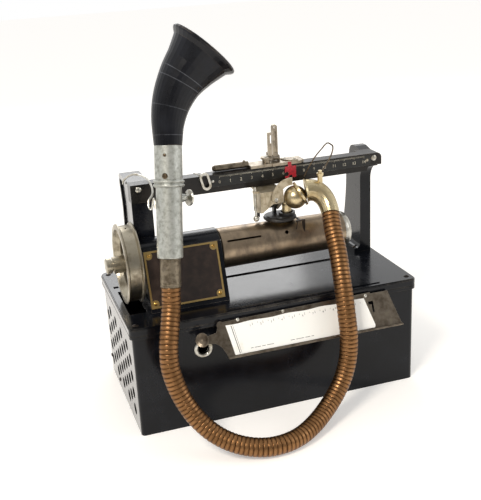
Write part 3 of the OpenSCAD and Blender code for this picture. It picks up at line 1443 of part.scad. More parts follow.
module motor_rotor() {
    color("#7b5a3a") {
        disc_x(pulley_x0 + 1, motor_x1 + 8, axis_y, motor_z, motor_shaft_r);
        difference() {
            disc_x(motor_x0 + 20, motor_x1 - 26, axis_y, motor_z, motor_r - 7);
            for (k = [0:11])
                turned_x(motor_x0 + 19, axis_y, motor_z) rotate([0, 0, 30 * k])
                    translate([motor_r - 8.5, 0, 0]) cylinder(h = motor_len, r = 1.8, $fn = near);
        }
        disc_x(motor_x1 - 26 - eps, motor_x1 - 14, axis_y, motor_z, 11);
    }
}
module motor_pulley() {
    r = motor_pulley_r;
    w = pulley_w;
    color("#9c968b")
    turned_x(pulley_x0, axis_y, motor_z)
        rotate_extrude($fn = fine)
            polygon([[motor_shaft_r + 0.01, 1], [r, 1], [r, 2.4], [r - 2, 4], [r - 2, w - 4], [r, w - 2.4],
                [r, w - 1], [8, w - 1], [8, w + 2], [motor_shaft_r + 0.01, w + 2]]);
}

// Marker knob: a dished button on a stem that slides in the tray's arm
module marker_knob() {
    color("#b5afa4")
    at_knob(0)
        rotate_extrude($fn = fine)
            polygon([[0, -14], [knob_stem_r, -14], [knob_stem_r, -1.6], [3.4, -0.8], [6.9, -0.4], [7.6, 0.4],
                [7.6, 1.2], [7, 1.7], [6.4, 1.5], [4, 0.7], [0, 0.4]]);
}

case_shell();
bottom_plate();
bedplate();
black_screws();
left_post();
right_post();
top_bar();
scale_plate();
nickel_screws();
bar_clip();
hook_wire();
bearing_housing();
bearing_bushes();
nameplate();
nameplate_screws();
slip_tray();
paper_slip();
front_bushing();
cord_bushing();
horn();
upper_tube();
lower_tube();
hose_ferrule();
tube_screws();
idler_pins();
motor_frame();
motor_bracket();
saddle();
guide_rod();
index_pointer();
oval_plate();
carriage_screws();
head_bracket();
yoke_strap();
guide_pin();
sound_ball();
elbow_tube();
wire_loop();
hose();
shift_lever();
half_nut();
stop_lever();
diaphragm_housing();
diaphragm();
stylus();
mandrel();
mandrel_ring();
mandrel_shaft();
pulley();
hub_cap();
mandrel_gear();
idler_gear_1();
idler_gear_2();
feed_screw();
feed_gear();
motor_rotor();
motor_pulley();
marker_knob();
thumb_disc();
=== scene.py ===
import bpy
import bmesh
import math
from mathutils import Matrix, Vector


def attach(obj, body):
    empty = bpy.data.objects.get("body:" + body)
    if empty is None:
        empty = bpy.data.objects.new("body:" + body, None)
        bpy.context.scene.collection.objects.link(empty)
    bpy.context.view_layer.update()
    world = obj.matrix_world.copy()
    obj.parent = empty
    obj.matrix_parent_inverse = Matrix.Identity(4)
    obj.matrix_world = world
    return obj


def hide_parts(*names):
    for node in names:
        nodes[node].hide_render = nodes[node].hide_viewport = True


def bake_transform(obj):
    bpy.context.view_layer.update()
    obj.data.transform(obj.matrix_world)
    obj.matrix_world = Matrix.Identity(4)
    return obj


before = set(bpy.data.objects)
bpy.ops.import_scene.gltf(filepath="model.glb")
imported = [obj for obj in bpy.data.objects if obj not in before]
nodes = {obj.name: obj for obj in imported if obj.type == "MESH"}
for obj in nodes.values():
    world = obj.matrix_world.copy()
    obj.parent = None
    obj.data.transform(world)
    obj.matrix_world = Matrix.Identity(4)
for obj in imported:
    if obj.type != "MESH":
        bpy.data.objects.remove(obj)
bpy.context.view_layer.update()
print("frame loaded:", len(nodes), "nodes")

scene = bpy.context.scene
mm = 0.001

# ---- camera: a short tele lens from the left front, a little above the machine
photoView = {
    "azimuth": -17.45,
    "elevation": 20.13,
    "roll": -3.11,
    "place": (-0.2948, -0.8924, 0.5059),
    "lens": 64.03,
    "sensor": 36.0,
}


def placeCamera(view):
    azimuth, elevation, roll = (math.radians(view[k]) for k in ("azimuth", "elevation", "roll"))
    back = Vector((math.sin(azimuth) * math.cos(elevation), -math.cos(azimuth) * math.cos(elevation),
                   math.sin(elevation)))
    right = Vector((0, 0, 1)).cross(back).normalized()
    up = back.cross(right)
    tiltedRight = math.cos(roll) * right + math.sin(roll) * up
    tiltedUp = math.cos(roll) * up - math.sin(roll) * right
    camera = bpy.data.objects.new("photoCamera", bpy.data.cameras.new("photoCamera"))
    camera.data.lens = view["lens"]
    camera.data.sensor_width = view["sensor"]
    camera.data.sensor_fit = "HORIZONTAL"
    camera.data.clip_start = 0.01
    turn = Matrix((tiltedRight, tiltedUp, back)).transposed()
    camera.matrix_world = Matrix.Translation(view["place"]) @ turn.to_4x4()
    scene.collection.objects.link(camera)
    scene.camera = camera


placeCamera(photoView)


# ---- small helpers for materials and pieces
def colour(code, alpha=1.0):
    # sRGB hex to the linear values that the shader wants
    parts = [int(code[i:i + 2], 16) / 255 for i in (1, 3, 5)]
    return tuple(c / 12.92 if c <= 0.04045 else ((c + 0.055) / 1.055) ** 2.4 for c in parts) + (alpha,)


def addNode(tree, kind, inputs=None, **settings):
    node = tree.nodes.new(kind)
    for name, value in settings.items():
        setattr(node, name, value)
    for socket, value in (inputs or {}).items():
        if isinstance(value, bpy.types.NodeSocket):
            tree.links.new(value, node.inputs[socket])
        else:
            node.inputs[socket].default_value = value
    return node


def startMaterial(name, base, metallic=0.0, roughness=0.4, **sockets):
    material = bpy.data.materials.new(name)
    material.use_nodes = True
    shader = material.node_tree.nodes["Principled BSDF"]
    shader.inputs["Base Color"].default_value = colour(base)
    shader.inputs["Metallic"].default_value = metallic
    shader.inputs["Roughness"].default_value = roughness
    for socket, value in sockets.items():
        shader.inputs[socket.replace("_", " ")].default_value = value
    return material, material.node_tree, shader


def carried(tree, value, low, high, first=0.0, last=1.0, **settings):
    # a value carried from one range to another and held at its ends
    node = addNode(tree, "ShaderNodeMapRange", {"Value": value, "From Min": low, "From Max": high,
                                                "To Min": first, "To Max": last}, **settings)
    return node.outputs["Result"]


def combined(tree, first, second, operation="MULTIPLY"):
    return addNode(tree, "ShaderNodeMath", {0: first, 1: second}, operation=operation).outputs["Value"]


def mixedColour(tree, share, first, second):
    return addNode(tree, "ShaderNodeMix", {0: share, 6: first, 7: second}, data_type="RGBA").outputs[2]


def noise(tree, place, sizeMm, detail, roughness=0.5):
    node = addNode(tree, "ShaderNodeTexNoise", {"Vector": place, "Scale": 1000 / sizeMm, "Detail": detail,
                                                "Roughness": roughness})
    return node.outputs["Fac"]


def dotWith(tree, vector, direction):
    node = addNode(tree, "ShaderNodeVectorMath", {0: vector, 1: direction}, operation="DOT_PRODUCT")
    return node.outputs["Value"]


def between(tree, place, normal, low, high, soft=0.05):
    # 1 where a point's distance along a direction, in millimetres, lies between two values
    along = dotWith(tree, place, tuple(normal))
    rise = carried(tree, along, (low - soft) * mm, low * mm)
    fall = carried(tree, along, high * mm, (high + soft) * mm, 1.0, 0.0)
    return combined(tree, rise, fall)


# how patches, edge wear and polish read the noise and the turned normal
wear = {
    "patchDetail": 6.0,
    "patchRoughness": 0.62,
    "grainDetail": 3.0,
    "edgeStarts": 0.985,
    "edgeFull": 0.85,
    "edgeBroken": (0.42, 0.6),
    "lineBroken": (0.36, 0.62),
    "polish": (0.3, 0.7),
}


def surfaceFinish(name, look):
    # patchy colour, rubbed edges, uneven polish and a fine relief, all sized in millimetres
    material, tree, shader = startMaterial(name, look["base"], look["metallic"], look["roughness"],
                                           **look.get("sockets", {}))
    place = ownPlace = addNode(tree, "ShaderNodeTexCoord").outputs["Object"]
    if "stretch" in look:
        stretched = addNode(tree, "ShaderNodeMapping", {"Vector": place, "Scale": look["stretch"]})
        place = stretched.outputs["Vector"]
    patches = noise(tree, place, look["patchMm"], wear["patchDetail"], wear["patchRoughness"])
    spread = carried(tree, patches, look["patchFrom"], look["patchTo"], interpolation_type="SMOOTHSTEP")
    result = mixedColour(tree, spread, colour(look["base"]), colour(look["patch"]))
    grain = noise(tree, place, look["grainMm"], wear["grainDetail"])
    if "edge" in look:
        # the Bevel node's normal turns away from the true one only near an edge
        rounded = addNode(tree, "ShaderNodeBevel", {"Radius": look["edgeMm"] * mm}, samples=4)
        plain = addNode(tree, "ShaderNodeNewGeometry")
        turned = dotWith(tree, rounded.outputs["Normal"], plain.outputs["Normal"])
        rubbed = carried(tree, turned, wear["edgeStarts"], wear["edgeFull"])
        broken = carried(tree, patches, *wear["edgeBroken"])
        result = mixedColour(tree, combined(tree, rubbed, broken), result, colour(look["edge"]))
    for line in look.get("lines", []):
        # a rubbed or inlaid line where the surface crosses a thin slab, broken up by the patches
        inside = between(tree, ownPlace, line["normal"], line["from"], line["to"])
        if line.get("broken"):
            inside = combined(tree, inside, carried(tree, patches, *wear["lineBroken"], last=line["broken"]))
        result = mixedColour(tree, inside, result, colour(line["colour"]))
        if line.get("metal"):
            tree.links.new(inside, shader.inputs["Metallic"])
    tree.links.new(result, shader.inputs["Base Color"])
    polish = carried(tree, patches, *wear["polish"], look["roughness"] - look["roughSpread"],
                     look["roughness"] + look["roughSpread"])
    tree.links.new(polish, shader.inputs["Roughness"])
    addRelief(tree, shader, grain, look["reliefStrength"], look["reliefMm"])
    return material


def addRelief(tree, shader, height, strength, depthMm):
    relief = addNode(tree, "ShaderNodeBump", {"Height": height, "Strength": strength,
                                              "Distance": depthMm * mm})
    tree.links.new(relief.outputs["Normal"], shader.inputs["Normal"])


# ---- finishes, each named for what the real one is
finishes = {
    # black baking enamel under a thin wax film: deep blue-black, mirror-like only at a grazing angle
    "bakedBlackEnamel": {
        "base": "#0a0c11", "patch": "#14161c", "metallic": 0.0, "roughness": 0.24, "roughSpread": 0.07,
        "patchMm": 34, "patchFrom": 0.42, "patchTo": 0.68, "grainMm": 1.4, "reliefMm": 0.03,
        "reliefStrength": 0.2, "edge": "#6b6459", "edgeMm": 0.6, "sockets": {"IOR": 1.22,
        "Coat_Weight": 1.0, "Coat_IOR": 1.22, "Coat_Roughness": 0.14},
    },
    # thin brown-black japan on the bar, matter than the enamel
    "brownJapan": {
        "base": "#12100e", "patch": "#221d19", "metallic": 0.0, "roughness": 0.3, "roughSpread": 0.08,
        "patchMm": 20, "patchFrom": 0.4, "patchTo": 0.7, "grainMm": 1.2, "reliefMm": 0.04,
        "reliefStrength": 0.3, "edge": "#75695a", "edgeMm": 0.6, "sockets": {"IOR": 1.36},
    },
    # hard rubber of the horn: blue-black with a low satin sheen, rubbed grey along its joint rings
    "hardRubberHorn": {
        "base": "#0b0c11", "patch": "#14161d", "metallic": 0.0, "roughness": 0.3, "roughSpread": 0.07,
        "patchMm": 26, "patchFrom": 0.4, "patchTo": 0.7, "grainMm": 1.1, "reliefMm": 0.03,
        "reliefStrength": 0.25, "edge": "#7d6f5f", "edgeMm": 1.2, "sockets": {"IOR": 1.33},
    },
    # old nickel plate: grey with a warm cast, spotted and dulled
    "agedNickel": {
        "base": "#c9c7bf", "patch": "#98917f", "metallic": 1.0, "roughness": 0.33, "roughSpread": 0.1,
        "patchMm": 9, "patchFrom": 0.42, "patchTo": 0.72, "grainMm": 0.7, "reliefMm": 0.03,
        "reliefStrength": 0.3, "edge": "#8d7d62", "edgeMm": 0.5,
    },
    # matt nickel on the speaking tube: pale grey, mottled like old zinc, hardly shiny
    "mattNickelTube": {
        "base": "#bdbfb9", "patch": "#94958d", "metallic": 0.85, "roughness": 0.46, "roughSpread": 0.08,
        "patchMm": 4.5, "patchFrom": 0.36, "patchTo": 0.74, "grainMm": 0.9, "reliefMm": 0.03,
        "reliefStrength": 0.35, "edge": "#6f675a", "edgeMm": 0.6,
    },
    # plated ferrule browned by hands
    "brownedPlate": {
        "base": "#8d8270", "patch": "#5b5143", "metallic": 0.9, "roughness": 0.42, "roughSpread": 0.08,
        "patchMm": 6, "patchFrom": 0.38, "patchTo": 0.68, "grainMm": 0.8, "reliefMm": 0.03,
        "reliefStrength": 0.35, "edge": "#b8a988", "edgeMm": 0.5,
    },
    # brass whose nickel has worn through: pale straw, grey-brown in patches
    "wornPlatedBrass": {
        "base": "#cdbd98", "patch": "#a38f68", "metallic": 1.0, "roughness": 0.32, "roughSpread": 0.09,
        "patchMm": 12, "patchFrom": 0.4, "patchTo": 0.72, "grainMm": 0.8, "reliefMm": 0.03,
        "reliefStrength": 0.3, "edge": "#e2d6b6", "edgeMm": 0.5,
    },
    # dull plated casting of the head bracket and its strap
    "dullPlatedCasting": {
        "base": "#bdb19a", "patch": "#8f8269", "metallic": 0.75, "roughness": 0.46, "roughSpread": 0.08,
        "patchMm": 10, "patchFrom": 0.4, "patchTo": 0.7, "grainMm": 0.9, "reliefMm": 0.05,
        "reliefStrength": 0.4, "edge": "#ded3ba", "edgeMm": 0.5,
    },
    # turned mandrel, plate gone brown with handling, a little streaked round the turning marks
    "tarnishedMandrelPlate": {
        "base": "#a3917a", "patch": "#75685a", "metallic": 1.0, "roughness": 0.36, "roughSpread": 0.07,
        "patchMm": 24, "patchFrom": 0.36, "patchTo": 0.72, "grainMm": 0.6, "reliefMm": 0.02,
        "reliefStrength": 0.35, "stretch": (1.6, 1, 1),
    },
    # turned steel pulley under thin nickel, warm grey with brown in the hollows
    "pulleyNickel": {
        "base": "#aea694", "patch": "#7a7160", "metallic": 1.0, "roughness": 0.34, "roughSpread": 0.08,
        "patchMm": 15, "patchFrom": 0.42, "patchTo": 0.7, "grainMm": 0.8, "reliefMm": 0.03,
        "reliefStrength": 0.3, "edge": "#cfc6b2", "edgeMm": 0.6,
    },
    # bare steel sheet that has browned evenly
    "brownedSteel": {
        "base": "#82786a", "patch": "#544b41", "metallic": 1.0, "roughness": 0.4, "roughSpread": 0.08,
        "patchMm": 13, "patchFrom": 0.38, "patchTo": 0.68, "grainMm": 0.8, "reliefMm": 0.04,
        "reliefStrength": 0.35, "edge": "#b4aa9a", "edgeMm": 0.5,
    },
    # bright worn steel of the saddle and its levers
    "wornBrightSteel": {
        "base": "#a89d8c", "patch": "#766c5f", "metallic": 1.0, "roughness": 0.38, "roughSpread": 0.08,
        "patchMm": 10, "patchFrom": 0.4, "patchTo": 0.7, "grainMm": 0.8, "reliefMm": 0.04,
        "reliefStrength": 0.35, "edge": "#d3cabb", "edgeMm": 0.5,
    },
    # cut and ground steel of gears, shafts and the feed screw
    "groundSteel": {
        "base": "#9b9a96", "patch": "#6d6861", "metallic": 1.0, "roughness": 0.3, "roughSpread": 0.08,
        "patchMm": 14, "patchFrom": 0.42, "patchTo": 0.7, "grainMm": 0.6, "reliefMm": 0.02,
        "reliefStrength": 0.3,
    },
    # cast yellow brass of the gears and small screws
    "castBrass": {
        "base": "#b8924e", "patch": "#7d6234", "metallic": 1.0, "roughness": 0.32, "roughSpread": 0.08,
        "patchMm": 10, "patchFrom": 0.42, "patchTo": 0.7, "grainMm": 0.7, "reliefMm": 0.02,
        "reliefStrength": 0.3,
    },
    # bearing bronze
    "bearingBronze": {
        "base": "#a06f38", "patch": "#6e4a26", "metallic": 1.0, "roughness": 0.35, "roughSpread": 0.08,
        "patchMm": 8, "patchFrom": 0.42, "patchTo": 0.7, "grainMm": 0.7, "reliefMm": 0.02,
        "reliefStrength": 0.3,
    },
    # blued and oiled screw steel, almost black
    "bluedSteel": {
        "base": "#2f2b28", "patch": "#4a4038", "metallic": 1.0, "roughness": 0.36, "roughSpread": 0.08,
        "patchMm": 5, "patchFrom": 0.42, "patchTo": 0.7, "grainMm": 0.6, "reliefMm": 0.02,
        "reliefStrength": 0.3, "edge": "#8f8372", "edgeMm": 0.3,
    },
    # brown oxidised steel of the tube's screws and the stiff wire loop
    "brownedWire": {
        "base": "#6d5f4d", "patch": "#3f362b", "metallic": 1.0, "roughness": 0.38, "roughSpread": 0.08,
        "patchMm": 4, "patchFrom": 0.4, "patchTo": 0.7, "grainMm": 0.6, "reliefMm": 0.02,
        "reliefStrength": 0.3,
    },
    # hard moulded rubber or fibre of the sound box and bushings
    "ebonite": {
        "base": "#191817", "patch": "#2a2521", "metallic": 0.0, "roughness": 0.42, "roughSpread": 0.08,
        "patchMm": 8, "patchFrom": 0.42, "patchTo": 0.7, "grainMm": 0.6, "reliefMm": 0.03,
        "reliefStrength": 0.3,
    },
    # mica sheet of the diaphragm
    "micaSheet": {
        "base": "#cdbf9c", "patch": "#a8966f", "metallic": 0.0, "roughness": 0.2, "roughSpread": 0.05,
        "patchMm": 6, "patchFrom": 0.4, "patchTo": 0.7, "grainMm": 0.8, "reliefMm": 0.02,
        "reliefStrength": 0.2,
    },
    # red stove enamel of the pointer
    "redEnamel": {
        "base": "#b01f2e", "patch": "#7e1722", "metallic": 0.0, "roughness": 0.32, "roughSpread": 0.06,
        "patchMm": 4, "patchFrom": 0.42, "patchTo": 0.7, "grainMm": 0.6, "reliefMm": 0.02,
        "reliefStrength": 0.2, "edge": "#d3c3b4", "edgeMm": 0.35,
    },
    # nameplate: ground filled brown-black between a raised border and bosses of bare brass
    "etchedNameplate": {
        "base": "#231711", "patch": "#33241b", "metallic": 0.0, "roughness": 0.4, "roughSpread": 0.07,
        "patchMm": 9, "patchFrom": 0.4, "patchTo": 0.68, "grainMm": 0.7, "reliefMm": 0.03,
        "reliefStrength": 0.4,
    },
    # blackened scale plate
    "blackedScale": {
        "base": "#131414", "patch": "#222322", "metallic": 0.2, "roughness": 0.42, "roughSpread": 0.08,
        "patchMm": 9, "patchFrom": 0.4, "patchTo": 0.68, "grainMm": 0.7, "reliefMm": 0.02,
        "reliefStrength": 0.3, "edge": "#7f7a70", "edgeMm": 0.4,
    },
    # ivory paint rubbed into the scale's cuts
    "ivoryFill": {
        "base": "#d8d2c0", "patch": "#9f9886", "metallic": 0.0, "roughness": 0.6, "roughSpread": 0.05,
        "patchMm": 7, "patchFrom": 0.4, "patchTo": 0.6, "grainMm": 0.7, "reliefMm": 0.02,
        "reliefStrength": 0.2,
    },
    # card slip, white with a few soft stains
    "cardSlip": {
        "base": "#fbfaf5", "patch": "#efe9dc", "metallic": 0.0, "roughness": 0.75, "roughSpread": 0.05,
        "patchMm": 22, "patchFrom": 0.55, "patchTo": 0.85, "grainMm": 0.9, "reliefMm": 0.05,
        "reliefStrength": 0.25,
    },
    # black printing ink on the slip
    "printersInk": {
        "base": "#2b2a2c", "patch": "#57565a", "metallic": 0.0, "roughness": 0.7, "roughSpread": 0.05,
        "patchMm": 5, "patchFrom": 0.45, "patchTo": 0.7, "grainMm": 0.6, "reliefMm": 0.01,
        "reliefStrength": 0.1,
    },
}

# the horn's centre line: straight out of the tube, then an even bend towards the user
hornShape = {
    "foot": (-120.5, -92, 170.4),
    "head": (-103.5, -58, 310.1),
    "side": (1, -0.217, 0),
    "straight": 14.5,
    "bendRadius": 98.5,
    "bendDegrees": 38.6,
    "ringsAt": (10.0, 38.0, 64.0, 72.0),
    "ringWidth": 0.7,
}


def hornPoint(shape, s):
    foot, head = Vector(shape["foot"]), Vector(shape["head"])
    up = (head - foot).normalized()
    side = Vector(shape["side"])
    side = (side - side.dot(up) * up).normalized()
    radius = shape["bendRadius"]
    turn = min(max(s - shape["straight"], 0) / radius, math.radians(shape["bendDegrees"]))
    past = max(s - shape["straight"] - radius * math.radians(shape["bendDegrees"]), 0)
    ahead = math.cos(turn) * up + math.sin(turn) * side
    place = head + (min(s, shape["straight"]) + radius * math.sin(turn)) * up
    return place + radius * (1 - math.cos(turn)) * side + past * ahead, ahead


finishes["hardRubberHorn"]["lines"] = []
for station in hornShape["ringsAt"]:
    centre, ahead = hornPoint(hornShape, station)
    level = centre.dot(ahead)
    finishes["hardRubberHorn"]["lines"].append({"normal": tuple(ahead), "from": level,
                                                "to": level + hornShape["ringWidth"], "broken": 0.5,
                                                "colour": "#70737a"})

# the nameplate leans back with its housing: brass shows above the etched ground
plateFrame = {
    "lean": 18.7,
    "axis": (-15.0, 175.0),
    "ground": 26.1,
    "border": 26.5,
    "above": 0.1,
    "past": 0.5,
    "brass": "#b79c66",
}
lean = math.radians(plateFrame["lean"])
plateOut = Vector((0, -math.cos(lean), math.sin(lean)))
plateLevel = plateOut.dot(Vector((0, *plateFrame["axis"])))
finishes["etchedNameplate"]["lines"] = [{
    "normal": tuple(plateOut),
    "from": plateLevel + plateFrame["ground"] + plateFrame["above"],
    "to": plateLevel + plateFrame["border"] + plateFrame["past"],
    "colour": plateFrame["brass"],
    "metal": True,
}]

materials = {name: surfaceFinish(name, look) for name, look in finishes.items()}
print("finishes made:", len(materials))

finishOf = {
    "bakedBlackEnamel": ["case_shell", "bedplate", "left_post", "right_post", "bearing_housing",
                         "motor_frame", "motor_bracket"],
    "brownJapan": ["top_bar"],
    "hardRubberHorn": ["horn"],
    "agedNickel": ["nickel_screws", "bar_clip", "hook_wire", "front_bushing", "carriage_screws", "guide_pin",
                   "mandrel_ring", "thumb_disc"],
    "mattNickelTube": ["upper_tube", "lower_tube"],
    "brownedPlate": ["hose_ferrule", "guide_rod"],
    "wornPlatedBrass": ["sound_ball", "elbow_tube"],
    "dullPlatedCasting": ["head_bracket", "yoke_strap"],
    "tarnishedMandrelPlate": ["mandrel"],
    "pulleyNickel": ["pulley", "hub_cap", "motor_pulley"],
    "brownedSteel": ["bottom_plate", "slip_tray", "marker_knob"],
    "wornBrightSteel": ["saddle", "oval_plate", "shift_lever", "stop_lever"],
    "groundSteel": ["idler_pins", "mandrel_shaft", "idler_gear_1", "feed_screw", "feed_gear", "motor_rotor"],
    "castBrass": ["nameplate_screws", "mandrel_gear", "idler_gear_2"],
    "bearingBronze": ["bearing_bushes", "half_nut"],
    "bluedSteel": ["black_screws", "stylus"],
    "brownedWire": ["tube_screws", "wire_loop"],
    "ebonite": ["cord_bushing", "diaphragm_housing"],
    "micaSheet": ["diaphragm"],
    "redEnamel": ["index_pointer"],
    "etchedNameplate": ["nameplate"],
    "blackedScale": ["scale_plate"],
    "cardSlip": ["paper_slip"],
}
for finish, names in finishOf.items():
    for name in names:
        mesh = nodes[name].data
        mesh.materials.clear()
        mesh.materials.append(materials[finish])


# ---- speaking hose: wound bronze strip on the same route as the solid
hoseShape = {
    "radius": 10.0 * mm,
    "grooveRadius": 9.4 * mm,
    "crown": 0.25,
    "boreRadius": 7.6 * mm,
    "ribs": 118,
    "ringsPerRib": 8,
    "sides": 24,
    "straightEnd": 20.0,
    "samples": 6,
    "foot": (-120.5, -92, 170.4),
    "head": (-103.5, -58, 310.1),
    "elbowEnd": (76.5, -54, 209),
    "elbowDirection": (0.15, 0.66, 0.735),
    "middle": [(-128, -106, 133), (-133, -114.5, 114), (-134.5, -121, 94), (-130.5, -127.5, 73),
               (-123, -135, 54), (-112.5, -145, 37.5), (-98, -156, 24.5), (-79.5, -167, 16),
               (-57, -174.5, 11.4), (-35, -175.5, 10.4), (-13, -169.5, 11), (8, -158.5, 14.5),
               (27, -146.5, 21.5), (43.5, -137, 33), (55.5, -130.5, 48.5), (63, -126, 68), (66, -122, 90),
               (66.5, -116, 112), (67.5, -107.5, 133.5), (69, -97, 154), (71.5, -83.5, 174.5)],
}


def hoseRoute(shape):
    foot, head, end = (Vector(shape[k]) for k in ("foot", "head", "elbowEnd"))
    up = (head - foot).normalized()
    into = Vector(shape["elbowDirection"])
    straight = shape["straightEnd"]
    hand = [foot, foot - up * straight / 2, foot - up * straight]
    hand += [Vector(p) for p in shape["middle"]]
    hand += [end - into * straight, end - into * straight / 2, end]
    last = len(hand) - 1
    route = []
    for i in range(last):
        a, b, c, d = hand[max(i - 1, 0)], hand[i], hand[i + 1], hand[min(i + 2, last)]
        for k in range(shape["samples"]):
            t = k / shape["samples"]
            route.append(0.5 * (2 * b + (c - a) * t + (2 * a - 5 * b + 4 * c - d) * t * t
                                + (3 * b - a - 3 * c + d) * t * t * t))
    route.append(hand[last])
    return [p * mm for p in route]


def pointAlong(route, lengths, s):
    i = 0
    while i < len(lengths) - 2 and lengths[i + 1] < s:
        i += 1
    return route[i].lerp(route[i + 1], (s - lengths[i]) / (lengths[i + 1] - lengths[i]))


def ribbedHose(shape):
    route = hoseRoute(shape)
    lengths = [0.0]
    for a, b in zip(route, route[1:]):
        lengths.append(lengths[-1] + (b - a).length)
    total = lengths[-1]
    ringCount = shape["ribs"] * shape["ringsPerRib"]
    stations = [total * k / ringCount for k in range(ringCount + 1)]
    centres = [pointAlong(route, lengths, s) for s in stations]
    sides = shape["sides"]
    bm = bmesh.new()
    uvLayer = bm.loops.layers.uv.new("alongHose")
    side = Vector((1, 0, 0))
    outerRings, innerRings = [], []
    for k, centre in enumerate(centres):
        ahead = (centres[min(k + 1, ringCount)] - centres[max(k - 1, 0)]).normalized()
        side = (side - side.dot(ahead) * ahead).normalized()
        other = ahead.cross(side)
        # each rib is a low arch with a narrow groove on both sides
        inRib = (k % shape["ringsPerRib"]) / shape["ringsPerRib"]
        rise = math.sin(math.pi * inRib)
        arch = (1 - shape["crown"]) * min(1.0, 3 * rise) + shape["crown"] * rise
        radius = shape["grooveRadius"] + (shape["radius"] - shape["grooveRadius"]) * arch
        spokes = [side * math.cos(2 * math.pi * j / sides) + other * math.sin(2 * math.pi * j / sides)
                  for j in range(sides)]
        outerRings.append([bm.verts.new(centre + spoke * radius) for spoke in spokes])
        if k % (2 * shape["ringsPerRib"]) == 0:
            innerRings.append([bm.verts.new(centre + spoke * shape["boreRadius"]) for spoke in spokes])
    for rings, inside in ((outerRings, False), (innerRings, True)):
        for k in range(len(rings) - 1):
            for j in range(sides):
                beside = (j + 1) % sides
                quad = [rings[k][j], rings[k][beside], rings[k + 1][beside], rings[k + 1][j]]
                face = bm.faces.new(quad[::-1] if inside else quad)
                face.smooth = True
                for loop in face.loops:
                    corner = quad.index(loop.vert)
                    across = j + (1 if corner in (1, 2) else 0)
                    along = k + (1 if corner in (2, 3) else 0)
                    loop[uvLayer].uv = (across / sides, along / shape["ringsPerRib"])
    for outer, inner in ((outerRings[0], innerRings[0]), (outerRings[-1], innerRings[-1])):
        for j in range(sides):
            face = bm.faces.new([outer[j], inner[j], inner[(j + 1) % sides], outer[(j + 1) % sides]])
            face.smooth = True
    bmesh.ops.recalc_face_normals(bm, faces=bm.faces)
    mesh = bpy.data.meshes.new("speakingHose")
    bm.to_mesh(mesh)
    bm.free()
    piece = bpy.data.objects.new("speakingHose", mesh)
    scene.collection.objects.link(piece)
    return piece, centres, total


bronzeStrip = {
    # colours across one turn, from joint to joint: painted shade in the joints and a painted highlight across
    # the middle of the turn
    "turn": [(0.0, "#22150c"), (0.05, "#442b19"), (0.13, "#7f5b3b"), (0.45, "#9c744d"), (0.86, "#7f5b3b"),
             (0.95, "#442b19"), (1.0, "#22150c")],
    "soil": "#5e4329",
    "soilMm": 16,
    "soilFrom": 0.4,
    "soilTo": 0.72,
    "soilShare": 0.6,
    "polish": (0.34, 0.5),
    "grainMm": 0.8,
    "reliefStrength": 0.3,
    "reliefMm": 0.04,
}


def woundBronzeStrip(look):
    # lacquered bronze strip wound into a tube: rounded turns with painted shade in the joints between them
    # and a painted highlight along the middle of each turn, soiled in patches
    material, tree, shader = startMaterial("woundBronzeStrip", "#9c7748", 1.0, 0.4)
    uv = addNode(tree, "ShaderNodeUVMap", uv_map="alongHose").outputs["UV"]
    split = addNode(tree, "ShaderNodeSeparateXYZ", {"Vector": uv})
    inRib = addNode(tree, "ShaderNodeMath", {0: split.outputs["Y"]}, operation="FRACT")
    # the ramp paints shade into each joint and a highlight onto the middle of each turn
    turn = addNode(tree, "ShaderNodeValToRGB", {"Fac": inRib.outputs["Value"]})
    elements = turn.color_ramp.elements
    for element, (position, code) in ((elements[0], look["turn"][0]), (elements[1], look["turn"][-1])):
        element.position = position
        element.color = colour(code)
    for position, code in look["turn"][1:-1]:
        elements.new(position).color = colour(code)
    place = addNode(tree, "ShaderNodeTexCoord").outputs["Object"]
    soil = noise(tree, place, look["soilMm"], 5.0)
    dirt = carried(tree, soil, look["soilFrom"], look["soilTo"], last=look["soilShare"])
    tone = mixedColour(tree, dirt, turn.outputs["Color"], colour(look["soil"]))
    tree.links.new(tone, shader.inputs["Base Color"])
    tree.links.new(carried(tree, soil, *wear["polish"], *look["polish"]), shader.inputs["Roughness"])
    grain = noise(tree, place, look["grainMm"], wear["grainDetail"])
    addRelief(tree, shader, grain, look["reliefStrength"], look["reliefMm"])
    return material


hose, hosePath, hoseLength = ribbedHose(hoseShape)
hose.data.materials.append(woundBronzeStrip(bronzeStrip))
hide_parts("hose")
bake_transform(hose)
print("hose length in mm:", round(hoseLength * 1000, 1))


# ---- painted scale and printed slip: thin raised marks on their plates
def markBox(bm, x, v, width, height, depth):
    # a flat bar centred on (x, v) of a plate's own front, standing out by its depth
    size = Matrix.Diagonal((width, depth, height, 1.0))
    bmesh.ops.create_cube(bm, size=1.0, matrix=Matrix.Translation((x, -depth / 2, v)) @ size)


def markNumber(bm, text, x, v, height, depth):
    curve = bpy.data.curves.new("number", "FONT")
    curve.body = text
    curve.size = height * 1.4
    curve.align_x = "CENTER"
    curve.extrude = depth / 2
    curve.resolution_u = 2
    holder = bpy.data.objects.new("number", curve)
    mesh = bpy.data.meshes.new_from_object(holder)
    mesh.transform(Matrix.Translation((x, -depth / 2, v)) @ Matrix.Rotation(math.radians(90), 4, "X"))
    bm.from_mesh(mesh)
    bpy.data.objects.remove(holder)
    bpy.data.curves.remove(curve)
    bpy.data.meshes.remove(mesh)


def marksPiece(name, bm, frameMatrix, finish, body):
    bm.transform(Matrix.Scale(mm, 4) @ frameMatrix)
    bmesh.ops.recalc_face_normals(bm, faces=bm.faces)
    mesh = bpy.data.meshes.new(name)
    bm.to_mesh(mesh)
    bm.free()
    mesh.materials.append(materials[finish])
    piece = bpy.data.objects.new(name, mesh)
    scene.collection.objects.link(piece)
    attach(piece, body)
    return piece


